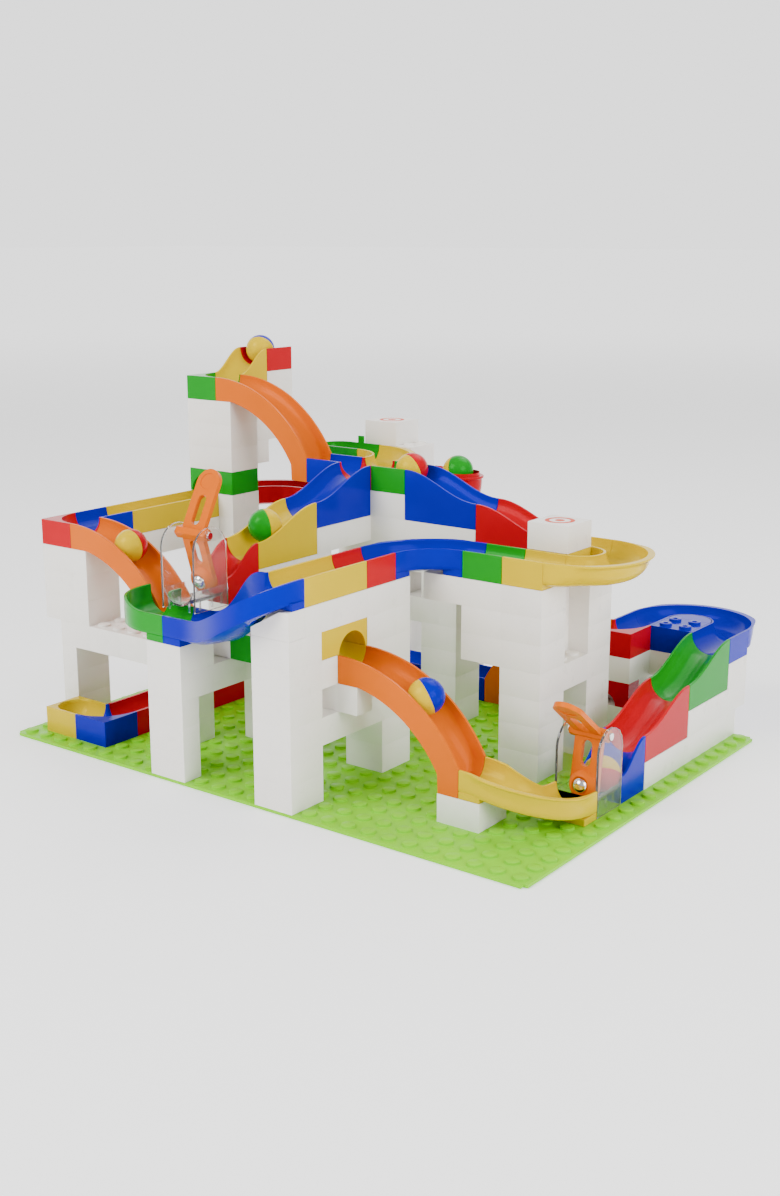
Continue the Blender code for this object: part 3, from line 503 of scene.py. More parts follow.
def tray_shapes(i0, i1, j0, k, square=False):
    """Straight channel that ends in a bowl at its low-i end, in a round or a square block."""
    rim, base = gz(k + 1) - GAP, gz(k) + GAP
    cx, cy = gx(i0 + 1), gy(j0 + 1)
    section = block_section(rim, rim - FLOOR, base)
    run = sweep([(cx, cy, 0, section), (gx(i1) - GAP, cy, 0, section)])
    profile = bowl_profile(rim - FLOOR) + [(CHANNEL_R, rim)]
    if square:
        block = box(gx(i0) + GAP, cx, cy - WALL, cy + WALL, base, rim)
        over = rim + 4.0
        bowl = turned((cx, cy), profile + [(CHANNEL_R, over), (0.0, over)], steps=64)
        return [run, cut_shape(block, [bowl])]
    profile += [(WALL, rim), (WALL, base), (0.0, base)]
    return [run, turned((cx, cy), profile, 90, 270, 36)]


def drop_plan(first=30, second=30):
    """(x, y, heading, rim, rise) down the falling bend, from the high right line to the left lever."""
    centre = []
    for n in range(first + 1):
        a = math.radians(-90 * n / first)
        centre.append((15 + math.cos(a), 1 + math.sin(a), math.degrees(a) - 90))
    for n in range(1, second + 1):
        i = 15 - 4 * n / second
        turn = math.pi * (15 - i) / 4
        heading = 180 - math.degrees(math.atan(0.125 * math.pi * math.sin(turn)))
        centre.append((i, 0.5 - 0.5 * math.cos(turn), heading))
    centre += [(10.66, 1, 180), (10.33, 1, 180), (10, 1, 180)]
    outer = [(x - math.sin(math.radians(h)), y + math.cos(math.radians(h))) for x, y, h in centre]
    run = [0.0]
    for (x0, y0), (x1, y1) in zip(outer, outer[1:]):
        run.append(run[-1] + math.hypot(x1 - x0, y1 - y0))
    plan = []
    for n, (i, j, heading) in enumerate(centre):
        s = min(run[n] / run[-4], 1.0)
        rim = gz(7 + math.cos(math.pi * s)) - GAP
        inner = max(0.0, min(1.0, (15 - i) / 4)) ** 1.2
        rise = max(gz(7 + math.cos(math.pi * inner)) - GAP - rim, 0.0)
        x = gx(i) + (GAP if n == len(centre) - 1 else 0.0)
        y = gy(j) - (GAP if n == 0 else 0.0)
        plan.append((x, y, heading, rim, rise))
    return plan


# ---- white brickwork -------------------------------------------------------------------------
def brickwork(boxes, skip=(), offset=0):
    """Boxes of grid cells laid as single bricks in running bond, each a plain box of its own with a fine seam
    gap.
    """
    cells = set()
    low = [min(b[n] for b in boxes) for n in (0, 2, 4)]
    high = [max(b[n] for b in boxes) for n in (1, 3, 5)]
    for i in range(math.floor(low[0]), math.ceil(high[0])):
        for j in range(math.floor(low[1]), math.ceil(high[1])):
            for k in range(math.floor(low[2]), math.ceil(high[2])):
                c = (i + 0.5, j + 0.5, k + 0.5)
                for i0, i1, j0, j1, k0, k1 in boxes:
                    if i0 < c[0] < i1 and j0 < c[1] < j1 and k0 < c[2] < k1:
                        cells.add((i, j, k))
    cells -= set(skip)
    pieces = []
    while cells:
        i, j, k = min(cells, key=lambda c: (c[2], c[1], c[0]))
        if (k + offset) % 2 == 0:
            shapes = [(4, 2), (2, 4), (2, 2)]
        elif (i + j) % 3:
            shapes = [(2, 2), (2, 4), (4, 2)]
        else:
            shapes = [(2, 4), (2, 2)]
        for di, dj in shapes + [(1, 2), (2, 1), (1, 1)]:
            block = {(i + a, j + b, k) for a in range(di) for b in range(dj)}
            if block <= cells:
                cells -= block
                pieces.append(grid_box(i, i + di, j, j + dj, k, k + 1, gap=SEAM))
                break
    return pieces


def soft_box(bm, width=SEAM_EDGE):
    """The same box with every edge rounded a little."""
    bmesh.ops.bevel(bm, geom=bm.edges[:], offset=width, segments=2, affect="EDGES", profile=0.7)
    return bm


def white(node_name, boxes, studs=(), skip=(), offset=0, extra=()):
    """White structure from boxes (i0, i1, j0, j1, k0, k1), less the skipped cells; studs go on layer k."""
    pieces = [soft_box(bm) for bm in brickwork(boxes, skip, offset)]
    for k, cells in studs:
        pieces += [stud(i, j, gz(k) - 0.02) for i, j in cells]
    pieces += list(extra)
    return show(node_name, pieces, "white", bevel=0, sharp=40)


# ---- base plate ------------------------------------------------------------------------------
# Footprints (i0, i1, j0, j1) of what stands on the plate, where no stud shows.
COVERED = [
    (1, 5, 1, 3), (3, 5, 3, 19), (5, 16, 17, 19), (20, 24, 17, 19), (0, 2, 3, 5), (0, 2, 13, 15),
    (7, 8, 4, 5), (9, 11, 0, 1), (9, 11, 6, 8), (15, 17, 0, 2), (15, 17, 6, 8), (14, 16, 13, 15),
    (21, 23, 9, 15), (22, 24, 3, 5), (25, 27, 6, 20), (6, 9, 19, 20), (21, 27, 19, 20), (9, 11, 13, 15),
    (11, 13, 19, 20),
]


def plate_shapes():
    """Thin slab with rounded corners and a stud on every open cell."""
    width, depth = PITCH * PLATE_I / 2, PITCH * PLATE_J / 2
    slab = box(-width, width, -depth, depth, 0.0, PLATE_T)
    upright = [edge for edge in slab.edges if abs(edge.verts[0].co.z - edge.verts[1].co.z) > 1.0]
    bmesh.ops.bevel(slab, geom=upright, offset=3.0, segments=8, affect="EDGES")
    rims = [edge for edge in slab.edges if abs(edge.verts[0].co.z - edge.verts[1].co.z) < 0.1]
    bmesh.ops.bevel(slab, geom=rims, offset=0.35, segments=2, affect="EDGES", profile=0.7)
    pieces = [slab]
    for i in range(PLATE_I):
        for j in range(PLATE_J):
            if not any(a <= i < b and c <= j < d for a, b, c, d in COVERED):
                pieces.append(stud(i + 0.5, j + 0.5, PLATE_T))
    return pieces


show("base_plate", plate_shapes(), "lime", bevel=0)


# ---- white structures ------------------------------------------------------------------------
def shelf_studs(i_range, j_range):
    """Stud centres over whole cells."""
    return [(i + 0.5, j + 0.5) for i in i_range for j in j_range]


white(
    "left_tower",
    [
        (0, 1, 3, 5, 0, 3.5), (0, 9.5, 3, 5, 3, 4), (-1, 2, 3, 5, 4, 6), (-1, 2, 3, 4, 4, 7),
        (1, 2, 3, 5, 4, 7), (0, 2, 3, 5, 3, 5), (7, 8, 4, 5, 0, 3.5),
        (-1, 1, 3.5, 14, 6, 7), (-1, 2, 13, 15, 4, 7), (0, 2, 13, 15, 0, 5), (1, 2, 13, 15, 6, 8),
        (9, 11, 0, 1, 0, 5), (9, 11, 0, 2, 4, 5), (9, 11, 0.5, 7, 3, 4), (9, 11, 6, 8, 0, 4),
    ],
    studs=[(4, shelf_studs((2, 3, 4, 5), (3, 4)))],
)
white(
    "start_tower_top",
    [(-1, 2, 13, 15, 9, 12), (-1, 1, 13, 17, 9, 12), (-1, 1, 14, 19, 10, 12), (-1, 1, 17, 19, 10, 13)],
    offset=1,
)
# Filler under the drop bend's high end, its top falling along the bend.
wedge = [
    (gx(15) + GAP, gz(6) + 0.1), (gx(17) - GAP, gz(6) + 0.1), (gx(17) - GAP, gz(7) - 0.1),
    (gx(16.5), gz(6.96)), (gx(15) + GAP, gz(6.28)),
]
white(
    "front_wall",
    [
        (15, 17, 0, 2, 0, 7), (15, 17, 1, 8, 2, 4), (15, 17, 6, 8, 0, 3), (15, 17, 5, 8, 3, 7),
        (15, 17, 1, 3, 3, 5), (15, 17, 1, 6, 6, 7), (16.5, 18, 3, 4, 3, 4),
    ],
    skip=[(16, 2, 3), (17, 2, 3), (15, 0, 6), (16, 0, 6)],
    extra=[extruded(wedge, "Y", gy(0) + GAP, gy(1) - 0.05)],
)
white("catch_block", [(22, 24, 3, 5, 0, 1)])
# Print on the caps: radii of the dot and the ring, and the thickness of the ink.
DOT_R, RING_IN, RING_OUT, INK = 3.4, 7.4, 10.4, 0.08


def cap_print(i, j, k):
    """Thin printed ring with a dot in its middle on top of a cap."""
    low, high = gz(k) - INK / 2, gz(k) - INK / 2 + INK
    ring = [(RING_IN, low), (RING_OUT, low), (RING_OUT, high), (RING_IN, high)]
    dot = [(0.0, low), (DOT_R, low), (DOT_R, high), (0.0, high)]
    centre = (gx(i), gy(j))
    return [turned(centre, ring, steps=40), turned(centre, dot, steps=24)]


white(
    "centre_wall",
    [
        (6, 9, 19, 20, 0, 10), (6, 9, 19, 21, 9, 10), (6, 8, 19, 21, 9, 11), (6, 13, 19, 20, 6, 8),
        (11, 13, 19, 20, 0, 8), (11, 13, 14, 18, 6, 7), (11, 13, 17, 20, 6, 8),
        (14, 16, 13, 15, 0, 7), (9, 16, 13, 15, 4, 5), (9, 13, 13, 15, 4, 9),
        (9, 11, 13, 15, 0, 5), (9, 11, 9, 14, 7, 8), (9, 11, 9, 10, 6, 8), (9, 11, 5, 10, 6, 7),
        (9, 11, 6, 8, 4, 7), (16, 22, 13, 15, 6, 7), (13, 17, 13, 15, 6, 8), (21, 23, 9, 11, 0, 7),
        (21, 23, 13, 15, 0, 7), (21, 23, 9, 15, 3, 4), (21, 22, 9, 15, 3, 7), (19, 23, 9, 11, 4, 7),
        (17, 23, 9, 11, 6, 7),
    ],
    studs=[(10, [(8.5, 19.5), (8.5, 20.5)]), (4, [(22.5, 11.5), (22.5, 12.5)])],
)
top_shapes = [soft_box(grid_box(21, 23, 11, 13, 8, 9), 0.4), *cap_print(22, 12, 9)]
show("top_cap", top_shapes, ["white", "print"], index=[0, 1, 1], bevel=0)
back_print = link("back_cap_print", joined(cap_print(7, 20, 11)), "print", bevel=0)
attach(back_print, ROOT)


def arch_brick(i0, i1, j0, j1, k, centre_i, radius, gap=0.03):
    """Brick with a half-round opening through it along Y, open at the bottom."""
    x0, x1, z0, z1 = gx(i0) + gap, gx(i1) - gap, gz(k) + gap, gz(k + 1) - gap
    outline = [(x1, z0), (x1, z1), (x0, z1), (x0, z0)]
    for n in range(25):
        a = math.pi * (1 - n / 24)
        outline.append((gx(centre_i) + radius * math.cos(a), z0 + radius * math.sin(a)))
    return extruded(outline, "Y", gy(j0) + gap, gy(j1) - gap)


# The red arch brick takes the place of two white cells.
right_boxes = [
    (25, 27, 11, 20, 0, 1), (25, 27, 15, 20, 0, 2), (25, 27, 17, 21, 1, 2), (25, 27, 19, 21, 1, 3),
    (21, 27, 19, 21, 2, 3), (21, 23, 17, 21, 2, 3), (21, 23, 17, 20, 0, 3),
]
red_cells = [(21, 17, 1), (22, 17, 1)]
right_pieces = [soft_box(bm) for bm in brickwork(right_boxes, red_cells)]
right_index = [0] * len(right_pieces) + [1]
right_pieces.append(arch_brick(21, 23, 17, 18, 1, 21.75, 9.0))
show("right_wall", right_pieces, ["white", "red"], index=right_index, bevel=0, sharp=40)


# ---- upper left ------------------------------------------------------------------------------
show("start_track_red", [straight_shape((0, 19), (0, 17), 13)], "red")
show("start_ramp_yellow", [wave_shape((0, 15), (0, 17), 12, steps=20)], "yellow")
show("start_corner_green", [corner_shape(-1, 13, 12, (1, 1))], "green")
show("slide_upper_orange", [slide_shape((1, 14), 0, 13)], "orange")
show("track_blue_upper", [straight_shape((7, 14), (9, 14), 9)], "blue")
show("track_green_upper", [straight_shape((11, 14), (13, 14), 9)], "green")


def apply_booleans(obj, cutters):
    """Cuts each millimetre shape out of obj and keeps the result as its mesh."""
    for n, bm in enumerate(cutters):
        bmesh.ops.recalc_face_normals(bm, faces=bm.faces)
        helper = link(f"{obj.name}_cutter{n}", bm, "white", bevel=0)
        mod = obj.modifiers.new("cut", "BOOLEAN")
        mod.operation, mod.solver, mod.object = "DIFFERENCE", "EXACT", helper
    graph = bpy.context.evaluated_depsgraph_get()
    mesh = bpy.data.meshes.new_from_object(obj.evaluated_get(graph))
    obj.modifiers.clear()
    obj.data = mesh
    for helper in [o for o in bpy.data.objects if o.name.startswith(f"{obj.name}_cutter")]:
        bpy.data.objects.remove(helper, do_unlink=True)


def cut_shape(bm, cutters):
    """A millimetre shape with others cut out of it, as a millimetre shape again."""
    bmesh.ops.recalc_face_normals(bm, faces=bm.faces)
    whole = link("carving", bm, "white", bevel=0)
    apply_booleans(whole, cutters)
    result = bmesh.new()
    result.from_mesh(whole.data)
    for face in result.faces:
        face.material_index = 0
    bmesh.ops.scale(result, vec=(1000, 1000, 1000), verts=result.verts)
    bpy.data.objects.remove(whole, do_unlink=True)
    return result


def pipe_cutter(points, reach=6.0):
    """Channel cutter along (x, y, heading, rim, floor)."""
    stations = []
    for x, y, heading, rim, floor in points:
        section = [(-CHANNEL_R, rim + reach), (CHANNEL_R, rim + reach)] + channel(rim, floor)
        stations.append((x, y, heading, section))
    return sweep(stations)


top = gz(10) - GAP
cross = [
    pipe_cutter([(gx(8.5), gy(14), 0, top, top - FLOOR), (gx(11.5), gy(14), 0, top, top - FLOOR)]),
    pipe_cutter([(gx(10), gy(12.5), 90, top, top - FLOOR), (gx(10), gy(15.5), 90, top, top - FLOOR)]),
]
show("crossing_red", [cut_shape(grid_box(9, 11, 13, 15, 9, 10), cross)], "red")
upper_feet = [(7, 8, 17, 19, 9), (9, 11, 15, 16, 9)]
show("bend_yellow_upper", bend_shapes((7, 15), 3, 90, 0, 9, upper_feet), "yellow")
tab = box(gx(5.6), gx(5.95), gy(19) - GAP - 1.8, gy(19) - GAP, gz(9.8), gz(10.3))
show("end_track_green", tray_shapes(4, 7, 17, 9) + [tab], "green")

# ---- ramps and the high line -----------------------------------------------------------------
for name, low, high, k, colour, steps in (
    ("ramp_left_blue", (10, 9), (10, 13), 8, "blue", 36),
    ("ramp_left_yellow", (10, 5), (10, 9), 7, "yellow", 36),
    ("ramp_left_red", (10, 3), (10, 5), 6, "red", 20),
    ("ramp_centre_blue", (17, 14), (13, 14), 8, "blue", 36),
    ("ramp_centre_red", (21, 14), (17, 14), 7, "red", 36),
    ("ramp_right_blue", (26, 9), (26, 11), 0, "blue", 20),
    ("ramp_right_red", (26, 11), (26, 15), 1, "red", 36),
    ("ramp_right_green", (26, 15), (26, 19), 2, "green", 36),
):
    show(name, [wave_shape(low, high, k, steps)], colour)


RING_BORE = 1.7


def u_turn_shapes(centre, block, k, side, studs=()):
    """Half-circle gutter, two straight legs on the flat block and the deck between the legs.

    With studs, the deck also fills the inside of the half circle.
    """
    rim, base = gz(k + 1) - GAP, gz(k) + GAP
    i0, i1, j0, j1 = block
    a = math.radians(side)
    ux, uy = math.cos(a), math.sin(a)
    arc = arc_path(centre, 2, side - 90, side + 90, 60)
    gutter = []
    for x, y, h, s in arc:
        soft = max(0.0, min(1.0, 8.0 * (s - 0.04), 8.0 * (0.96 - s)))
        gutter.append((x, y, h, gutter_section(rim, 0.0, lip_at(s), soft=soft)))
    pieces = [sweep(gutter)]
    if studs:
        hub = [(0.0, base), (PITCH + 1.2, base), (PITCH + 1.2, rim), (0.0, rim)]
        pieces.append(turned((gx(centre[0]), gy(centre[1])), hub, side - 90, side + 90, 40))
    leg = PITCH * ((i1 - i0) if side == 0 else (j1 - j0))
    section = block_section(rim, rim - FLOOR, base)
    for x, y, h, s in (arc[0], arc[-1]):
        ends = [(x - ux * (leg - GAP), y - uy * (leg - GAP), side, section), (x, y, side, section)]
        pieces.append(sweep(ends))
    if side == 0:
        pieces.append(grid_box(i0, i1, j0 + 2, j1 - 2, k, k + 1, gap=GAP))
    else:
        pieces.append(grid_box(i0 + 2, i1 - 2, j0, j1, k, k + 1, gap=GAP))
    return pieces + [stud(i, j, rim, RING_BORE) for i, j in studs]


show("turn_yellow", u_turn_shapes((23, 12), (21, 23, 9, 15), 7, 0), "yellow")
show("track_green_high", [straight_shape((21, 10), (19, 10), 7)], "green")
high_feet = [(18, 19, 9, 11, 7), (15, 17, 7, 8, 7)]
show("bend_blue_high", bend_shapes((19, 7), 3, 90, 180, 7, high_feet), "blue")
show("track_red_high", [straight_shape((16, 7), (16, 5), 7)], "red")
show("track_yellow_high", [straight_shape((16, 5), (16, 1), 7)], "yellow")
DROP_INNER = 15.2
drop = []
for x, y, heading, rim, rise in drop_plan():
    drop.append((x, y, heading, gutter_section(rim, 0.0, 0.0, right=DROP_INNER, rise=rise)))
show("drop_bend_blue", [sweep(drop), foot_box(15, 17, 0.25, 1, 7), foot_box(10, 11, 0, 2, 5)], "blue")


def small_bend_shapes():
    """Quarter turn below the left lever, its guard walls rising a little."""
    centre = [(10, 1, 180, 0.0), (9.5, 1, 180, 0.0), (9.0, 1, 180, 0.02), (8.7, 1, 180, 0.1)]
    for n in range(1, 25):
        a = math.radians(270 - 90 * n / 24)
        rise = min(1.0, 0.1 + n / 14)
        centre.append((8.7 + 1.5 * math.cos(a), 2.5 + 1.5 * math.sin(a), math.degrees(a) - 90, rise))
    centre.append((7.2, 2.96, 90, 1.0))
    floor = gz(6) - GAP - FLOOR
    stations = []
    for n, (i, j, heading, rise) in enumerate(centre):
        rim = gz(6) - GAP + 4.8 * rise * rise * (3 - 2 * rise)
        x = gx(i) - (GAP if n == 0 else 0.0)
        stations.append((x, gy(j), heading, gutter_section(rim, 0.0, 0.0, drop=rim - floor)))
    return [sweep(stations), foot_box(9, 10, 0, 2, 5)]


show("bend_green_low", small_bend_shapes(), "green")

# ---- left rail -------------------------------------------------------------------------------
def tunnel_shape(block, axis, centre, radius, floor_k):
    """Block with a round-topped passage through it along axis, open at the bottom."""
    i0, i1, j0, j1, k0, k1 = block
    if axis == "X":
        u0, u1, start, end, cu = gy(j0) + GAP, gy(j1) - GAP, gx(i0) + GAP, gx(i1) - GAP, gy(centre)
    else:
        u0, u1, start, end, cu = gx(i0) + GAP, gx(i1) - GAP, gy(j0) + GAP, gy(j1) - GAP, gx(centre)
    z0, z1, zf = gz(k0) + GAP, gz(k1) - GAP, gz(floor_k)
    base = math.asin(max(0.0, min(1.0, (z0 - zf) / radius)))
    outline = [(u1, z0), (u1, z1), (u0, z1), (u0, z0)]
    for n in range(33):
        a = math.pi - base - (math.pi - 2 * base) * n / 32
        outline.append((cu + radius * math.cos(a), max(z0, zf + radius * math.sin(a))))
    return extruded(outline, axis, start, end)


show("tunnel_green", [tunnel_shape((-1, 2, 13, 15, 8, 9), "Y", 0, 13.6, 8)], "green")


def red_return_shapes():
    """Large bend into the green tunnel, straight run and the raised cup at the back."""
    rim = gz(8) - GAP
    plain = gutter_section(rim, 0.0, 0.0)
    line = [(gx(i), gy(18), 180, plain) for i in (11, 7, 3)]
    for x, y, heading, s in arc_path((3, 15), 3, 90, 180, 36)[1:]:
        line.append((x, y + (GAP if s == 1 else 0.0), heading, gutter_section(rim, 0.0, lip_at(s))))
    pieces = [sweep(line)]
    brim, cup_top = gz(9.5) - GAP, gz(9.25) - GAP
    cx, cy, floor = gx(12.85), gy(18), brim - FLOOR
    section = block_section(cup_top, floor, gz(8) + GAP)
    pieces.append(sweep([(gx(10.6), cy, 0, section), (cx, cy, 0, section)]))
    under, foot = cup_top - 2.4, gz(8) + GAP
    profile = bowl_profile(floor) + [
        (CHANNEL_R, cup_top - 0.3), (CHANNEL_R + 0.4, cup_top), (WALL + 0.9, cup_top),
        (WALL + 1.2, cup_top - 0.4), (WALL + 1.2, cup_top - 1.6), (WALL + 0.9, cup_top - 2.0), (WALL, under),
    ]
    for n in range(1, 10):
        a = math.radians(10 * n)
        profile.append((WALL * (0.55 + 0.45 * math.cos(a)), under - (under - foot) * math.sin(a)))
    profile.append((0.0, foot))
    pieces.append(turned((cx, cy), profile, -90, 90, 40))
    return pieces


show("return_track_red", red_return_shapes(), "red")
show("rail_yellow", [straight_shape((0, 15), (0, 7), 7)], "yellow")
show("rail_blue", [straight_shape((0, 7), (0, 5), 7)], "blue")
show("rail_corner_red", [corner_shape(-1, 3, 7, (1, 1))], "red")
show("slide_left_orange", [slide_shape((1, 4), 0, 8)], "orange")
link_runs = [straight_shape((i0, 4), (i1, 4), 4) for i0, i1 in ((7, 11), (11, 15), (15, 17))]
show("track_link", link_runs, ["white", "green", "yellow"], slot="green", index=[0, 1, 2])
show("tunnel_yellow", [tunnel_shape((15, 17, 2, 5, 5, 6), "X", 4, 14.0, 4.95)], "yellow")
show("slide_front_orange", [slide_shape((17, 4), 0, 5)], "orange")


def catch_bend_shapes():
    """Quarter turn from the front slide down to the right lever."""
    centre = [(23, 4, 0), (23.5, 4, 0)]
    for n in range(31):
        a = math.radians(-90 + 3 * n)
        centre.append((24 + 2 * math.cos(a), 6 + 2 * math.sin(a), math.degrees(a) + 90))
    centre += [(26, 6.5, 90), (26, 7, 90)]
    stations, run = [], 0.0
    for n, (i, j, heading) in enumerate(centre):
        if n:
            run += math.hypot(i - centre[n - 1][0], j - centre[n - 1][1])
        s = min(run / (2 + math.pi), 1.0)
        rim = gz(1.5 + 0.5 * math.cos(math.pi * s)) - GAP
        x = gx(i) + (GAP if n == 0 else 0.0)
        y = gy(j) - (GAP if n == len(centre) - 1 else 0.0)
        stations.append((x, y, heading, gutter_section(rim, 0.0, lip_at(s, 2.0))))
    return [sweep(stations), foot_box(23, 24, 3, 5, 1), foot_box(25, 27, 6, 7, 0)]


show("catch_bend_yellow", catch_bend_shapes(), "yellow")

# ---- right side and ground run -----------------------------------------------------------------
RINGS = [(23.5, 19.5), (24.5, 19.5), (23.5, 20.5), (24.5, 20.5)]
show("turn_blue", u_turn_shapes((24, 21), (21, 27, 19, 21), 3, 90, RINGS), "blue")
show("corner_red_right", [corner_shape(21, 17, 3, (0, 1))], "red")
show("slide_back_orange", [slide_shape((21, 18), 180, 4)], "orange")
show("ground_track_blue", [straight_shape((15, 18), (5, 18), 0)], "blue")
show("ground_track_red", [straight_shape((4, 3), (4, 17), 0), corner_shape(3, 17, 0, (1, 0))], "red")
show("ground_corner_blue", [corner_shape(3, 1, 0, (0, 1))], "blue")
show("end_tray_yellow", tray_shapes(1, 3, 1, 0, square=True), "yellow")


# ---- levers and their housings -----------------------------------------------------------------
def plate(loops, half):
    """Flat piece in the XZ plane from an outline and holes, half thick to either side in Y."""
    bm = bmesh.new()
    for y in (-half, half):
        edges = []
        for loop in loops:
            ring = [bm.verts.new((x, y, z)) for x, z in loop]
            edges += [bm.edges.new((ring[n], ring[(n + 1) % len(ring)])) for n in range(len(ring))]
        bmesh.ops.triangle_fill(bm, use_beauty=True, edges=edges)
    bm.verts.ensure_lookup_table()
    half_count = len(bm.verts) // 2
    at = 0
    for loop in loops:
        count = len(loop)
        for n in range(count):
            a, b = at + n, at + (n + 1) % count
            bm.faces.new((bm.verts[a], bm.verts[b], bm.verts[b + half_count], bm.verts[a + half_count]))
        at += count
    return bm


def half_circle(x, z, radius, start, steps):
    """Points of a half circle in the XZ plane from angle start, in degrees."""
    angles = [math.radians(start + 180 * n / steps) for n in range(steps + 1)]
    return [(x + radius * math.cos(a), z + radius * math.sin(a)) for a in angles]


def round_slot(width, z0, z1):
    """Closed outline of an upright slot with round ends."""
    r = width / 2
    return half_circle(0.0, z1 - r, r, 0, 10) + half_circle(0.0, z0 + r, r, 180, 10)


def arm_outline(length, width, radius):
    """Outline from the axle to a round tip."""
    low, neck = width / 2, length - radius - 6.0
    tip = half_circle(0.0, length - radius, radius, 0, 20)
    return tip + [(-low, neck), (-low, 0.0), (low, 0.0), (low, neck)]


def oval(cx, cz, rx, rz, steps=28):
    """Closed oval outline in the XZ plane."""
    angles = [math.tau * n / steps for n in range(steps)]
    return [(cx + rx * math.cos(a), cz + rz * math.sin(a)) for a in angles]


def spun(bm, angle):
    """Turned about the X axis, where the levers' axle lies."""
    bmesh.ops.rotate(bm, cent=(0, 0, 0), matrix=Matrix.Rotation(math.radians(angle), 3, "X"), verts=bm.verts)
    return bm


def moved(bm, vec):
    """The same shape at another place."""
    bmesh.ops.translate(bm, vec=vec, verts=bm.verts)
    return bm


def dome_y(cz, profile, steps=32):
    """Profile (radius, y) turned round an axis along Y through height cz."""
    bm = turned((0.0, 0.0), profile, steps=steps)
    bmesh.ops.rotate(bm, cent=(0, 0, 0), matrix=Matrix.Rotation(math.radians(-90), 3, "X"), verts=bm.verts)
    return moved(bm, (0, 0, cz))


# Turned profiles (radius, distance along the axis) of the boss and of the dome set into it.
BOSS = [
    (0, -3.0), (8.2, -3.0), (9.6, -1.8), (9.8, 0.0), (9.6, 2.2), (8.8, 4.2), (7.4, 5.6), (5.9, 6.1),
    (5.6, 5.0), (0, 5.0),
]
DOME = [(0, 4.0), (5.2, 4.0), (5.2, 5.2), (4.9, 6.2), (4.1, 7.3), (2.9, 8.1), (1.5, 8.6), (0, 8.8)]
PAD_Z, SLOT = 37.0, 7.4


def lever_shapes(up, down):
    """Finger arm turned up degrees from upright, striking arm turned down from hanging, bar and axle."""
    finger = [arm_outline(LEVER_UP, 20.0, 10.0), round_slot(SLOT, 5.5, 27.0), oval(0.0, PAD_Z, 6.6, 5.6)]
    upper = [plate(finger, 1.7), plate([oval(0.0, PAD_Z, 6.9, 5.9)], 1.15)]
    lower = [
        plate([arm_outline(LEVER_DOWN + BOSS_R, 19.2, BOSS_R), round_slot(SLOT, 5.0, 22.5)], 1.8),
        dome_y(LEVER_DOWN, BOSS),
    ]
    chrome_dome = dome_y(LEVER_DOWN, DOME)
    bar = [spun(cylinder_x((0, 0, 0), 4.4, 27.0, sides=6), 30 - up)]
    axle = [cylinder_x((0, 0, 0), 2.2, 31.2, sides=24)]
    caps = [cylinder_x((side * 15.9, 0, 0), 2.45, 0.5, sides=24) for side in (-1, 1)]
    for bm in upper:
        spun(bm, -up)
    for bm in lower + [chrome_dome]:
        spun(bm, 180 + down)
    return upper + lower + bar + axle + [chrome_dome] + caps


def lever(name, i, j, k, up, down):
    """Lever over the housing centred at (i, j) on layer k."""
    pivot = (gx(i), gy(j), gz(k) + 0.15 + PIVOT_H)
    pieces = [moved(bm, pivot) for bm in lever_shapes(up, down)]
    show(name, pieces, ["orange", "chrome"], body=name, index=[0] * 6 + [1] * 3, bevel=0.5, sharp=35)


lever("lever_left", 10, 2, 6, 28, 16)
lever("lever_right", 26, 8, 0, -52, -9)


def housing(name, i, j, k):
    """Clear channel on ribs, with an arch-topped cheek and the axle's bore on either side."""
    x, y, z, rim = gx(i), gy(j), gz(k) + GAP, gz(k + 1) - GAP
    floor, skin = rim - FLOOR, 1.5
    arc = [math.radians(15 + 150 * n / ARC) for n in range(ARC + 1)]
    section = [(CHANNEL_R * math.cos(a), floor + CHANNEL_R - CHANNEL_R * math.sin(a)) for a in arc]
    under = [(t, height - skin) for t, height in section[::-1]]
    pieces = [sweep([(x, y - WALL + 0.1, 90, section + under), (x, y + WALL - 0.1, 90, section + under)])]
    for rib in (-1, -0.38, 0.38, 1):
        at = y + rib * (WALL - 0.8)
        for side in (-1, 1):
            pieces.append(box(x + side * 9.5 - 0.6, x + side * 9.5 + 0.6, at - 0.6, at + 0.6, z, floor + 2.0))
    for side in (-1, 1):
        cx = x + side * (WALL - CHEEK / 2)
        outline = [(y - WALL, z), (y + WALL, z)] + half_circle(y, z + ARCH_TOP - WALL, WALL, 0, 32)
        hole = oval(y, z + PIVOT_H, BORE_R, BORE_R, steps=20)
        cheek = plate([outline, hole], CHEEK / 2)
        for vert in cheek.verts:
            vert.co = Vector((cx + vert.co.y, vert.co.x, vert.co.z))
        pieces.append(cheek)
    show(name, pieces, "clear", bevel=0.25)


housing("housing_left", 10, 2, 6)
housing("housing_right", 26, 8, 0)


# ---- balls -----------------------------------------------------------------------------------
def ball(name, i, j, k, first, second, pole):
    """Two half shells with a fine groove between them; pole points to the middle of the second colour."""
    groove, half = 0.22, 18
    angles = [math.radians(90 * n / half) for n in range(half)] + [math.radians(89.0)]
    upper = [(BALL_R * math.sin(a), BALL_R * math.cos(a)) for a in angles]
    profile = upper + [(BALL_R - groove, 0.0)] + [(r, -z) for r, z in upper[::-1]]
    bm = turned((0.0, 0.0), profile, steps=56)
    for face in bm.faces:
        face.material_index = 1 if face.calc_center_median().z > 0 else 0
    turn = Vector((0, 0, 1)).rotation_difference(Vector(pole).normalized()).to_matrix()
    bmesh.ops.rotate(bm, cent=(0, 0, 0), matrix=turn, verts=bm.verts)
    moved(bm, (gx(i), gy(j), gz(k)))
    bmesh.ops.recalc_face_normals(bm, faces=bm.faces)
    obj = link(name + "_look", bm, [first, second], bevel=0, sharp=50)
    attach(obj, name)
    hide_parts(name)


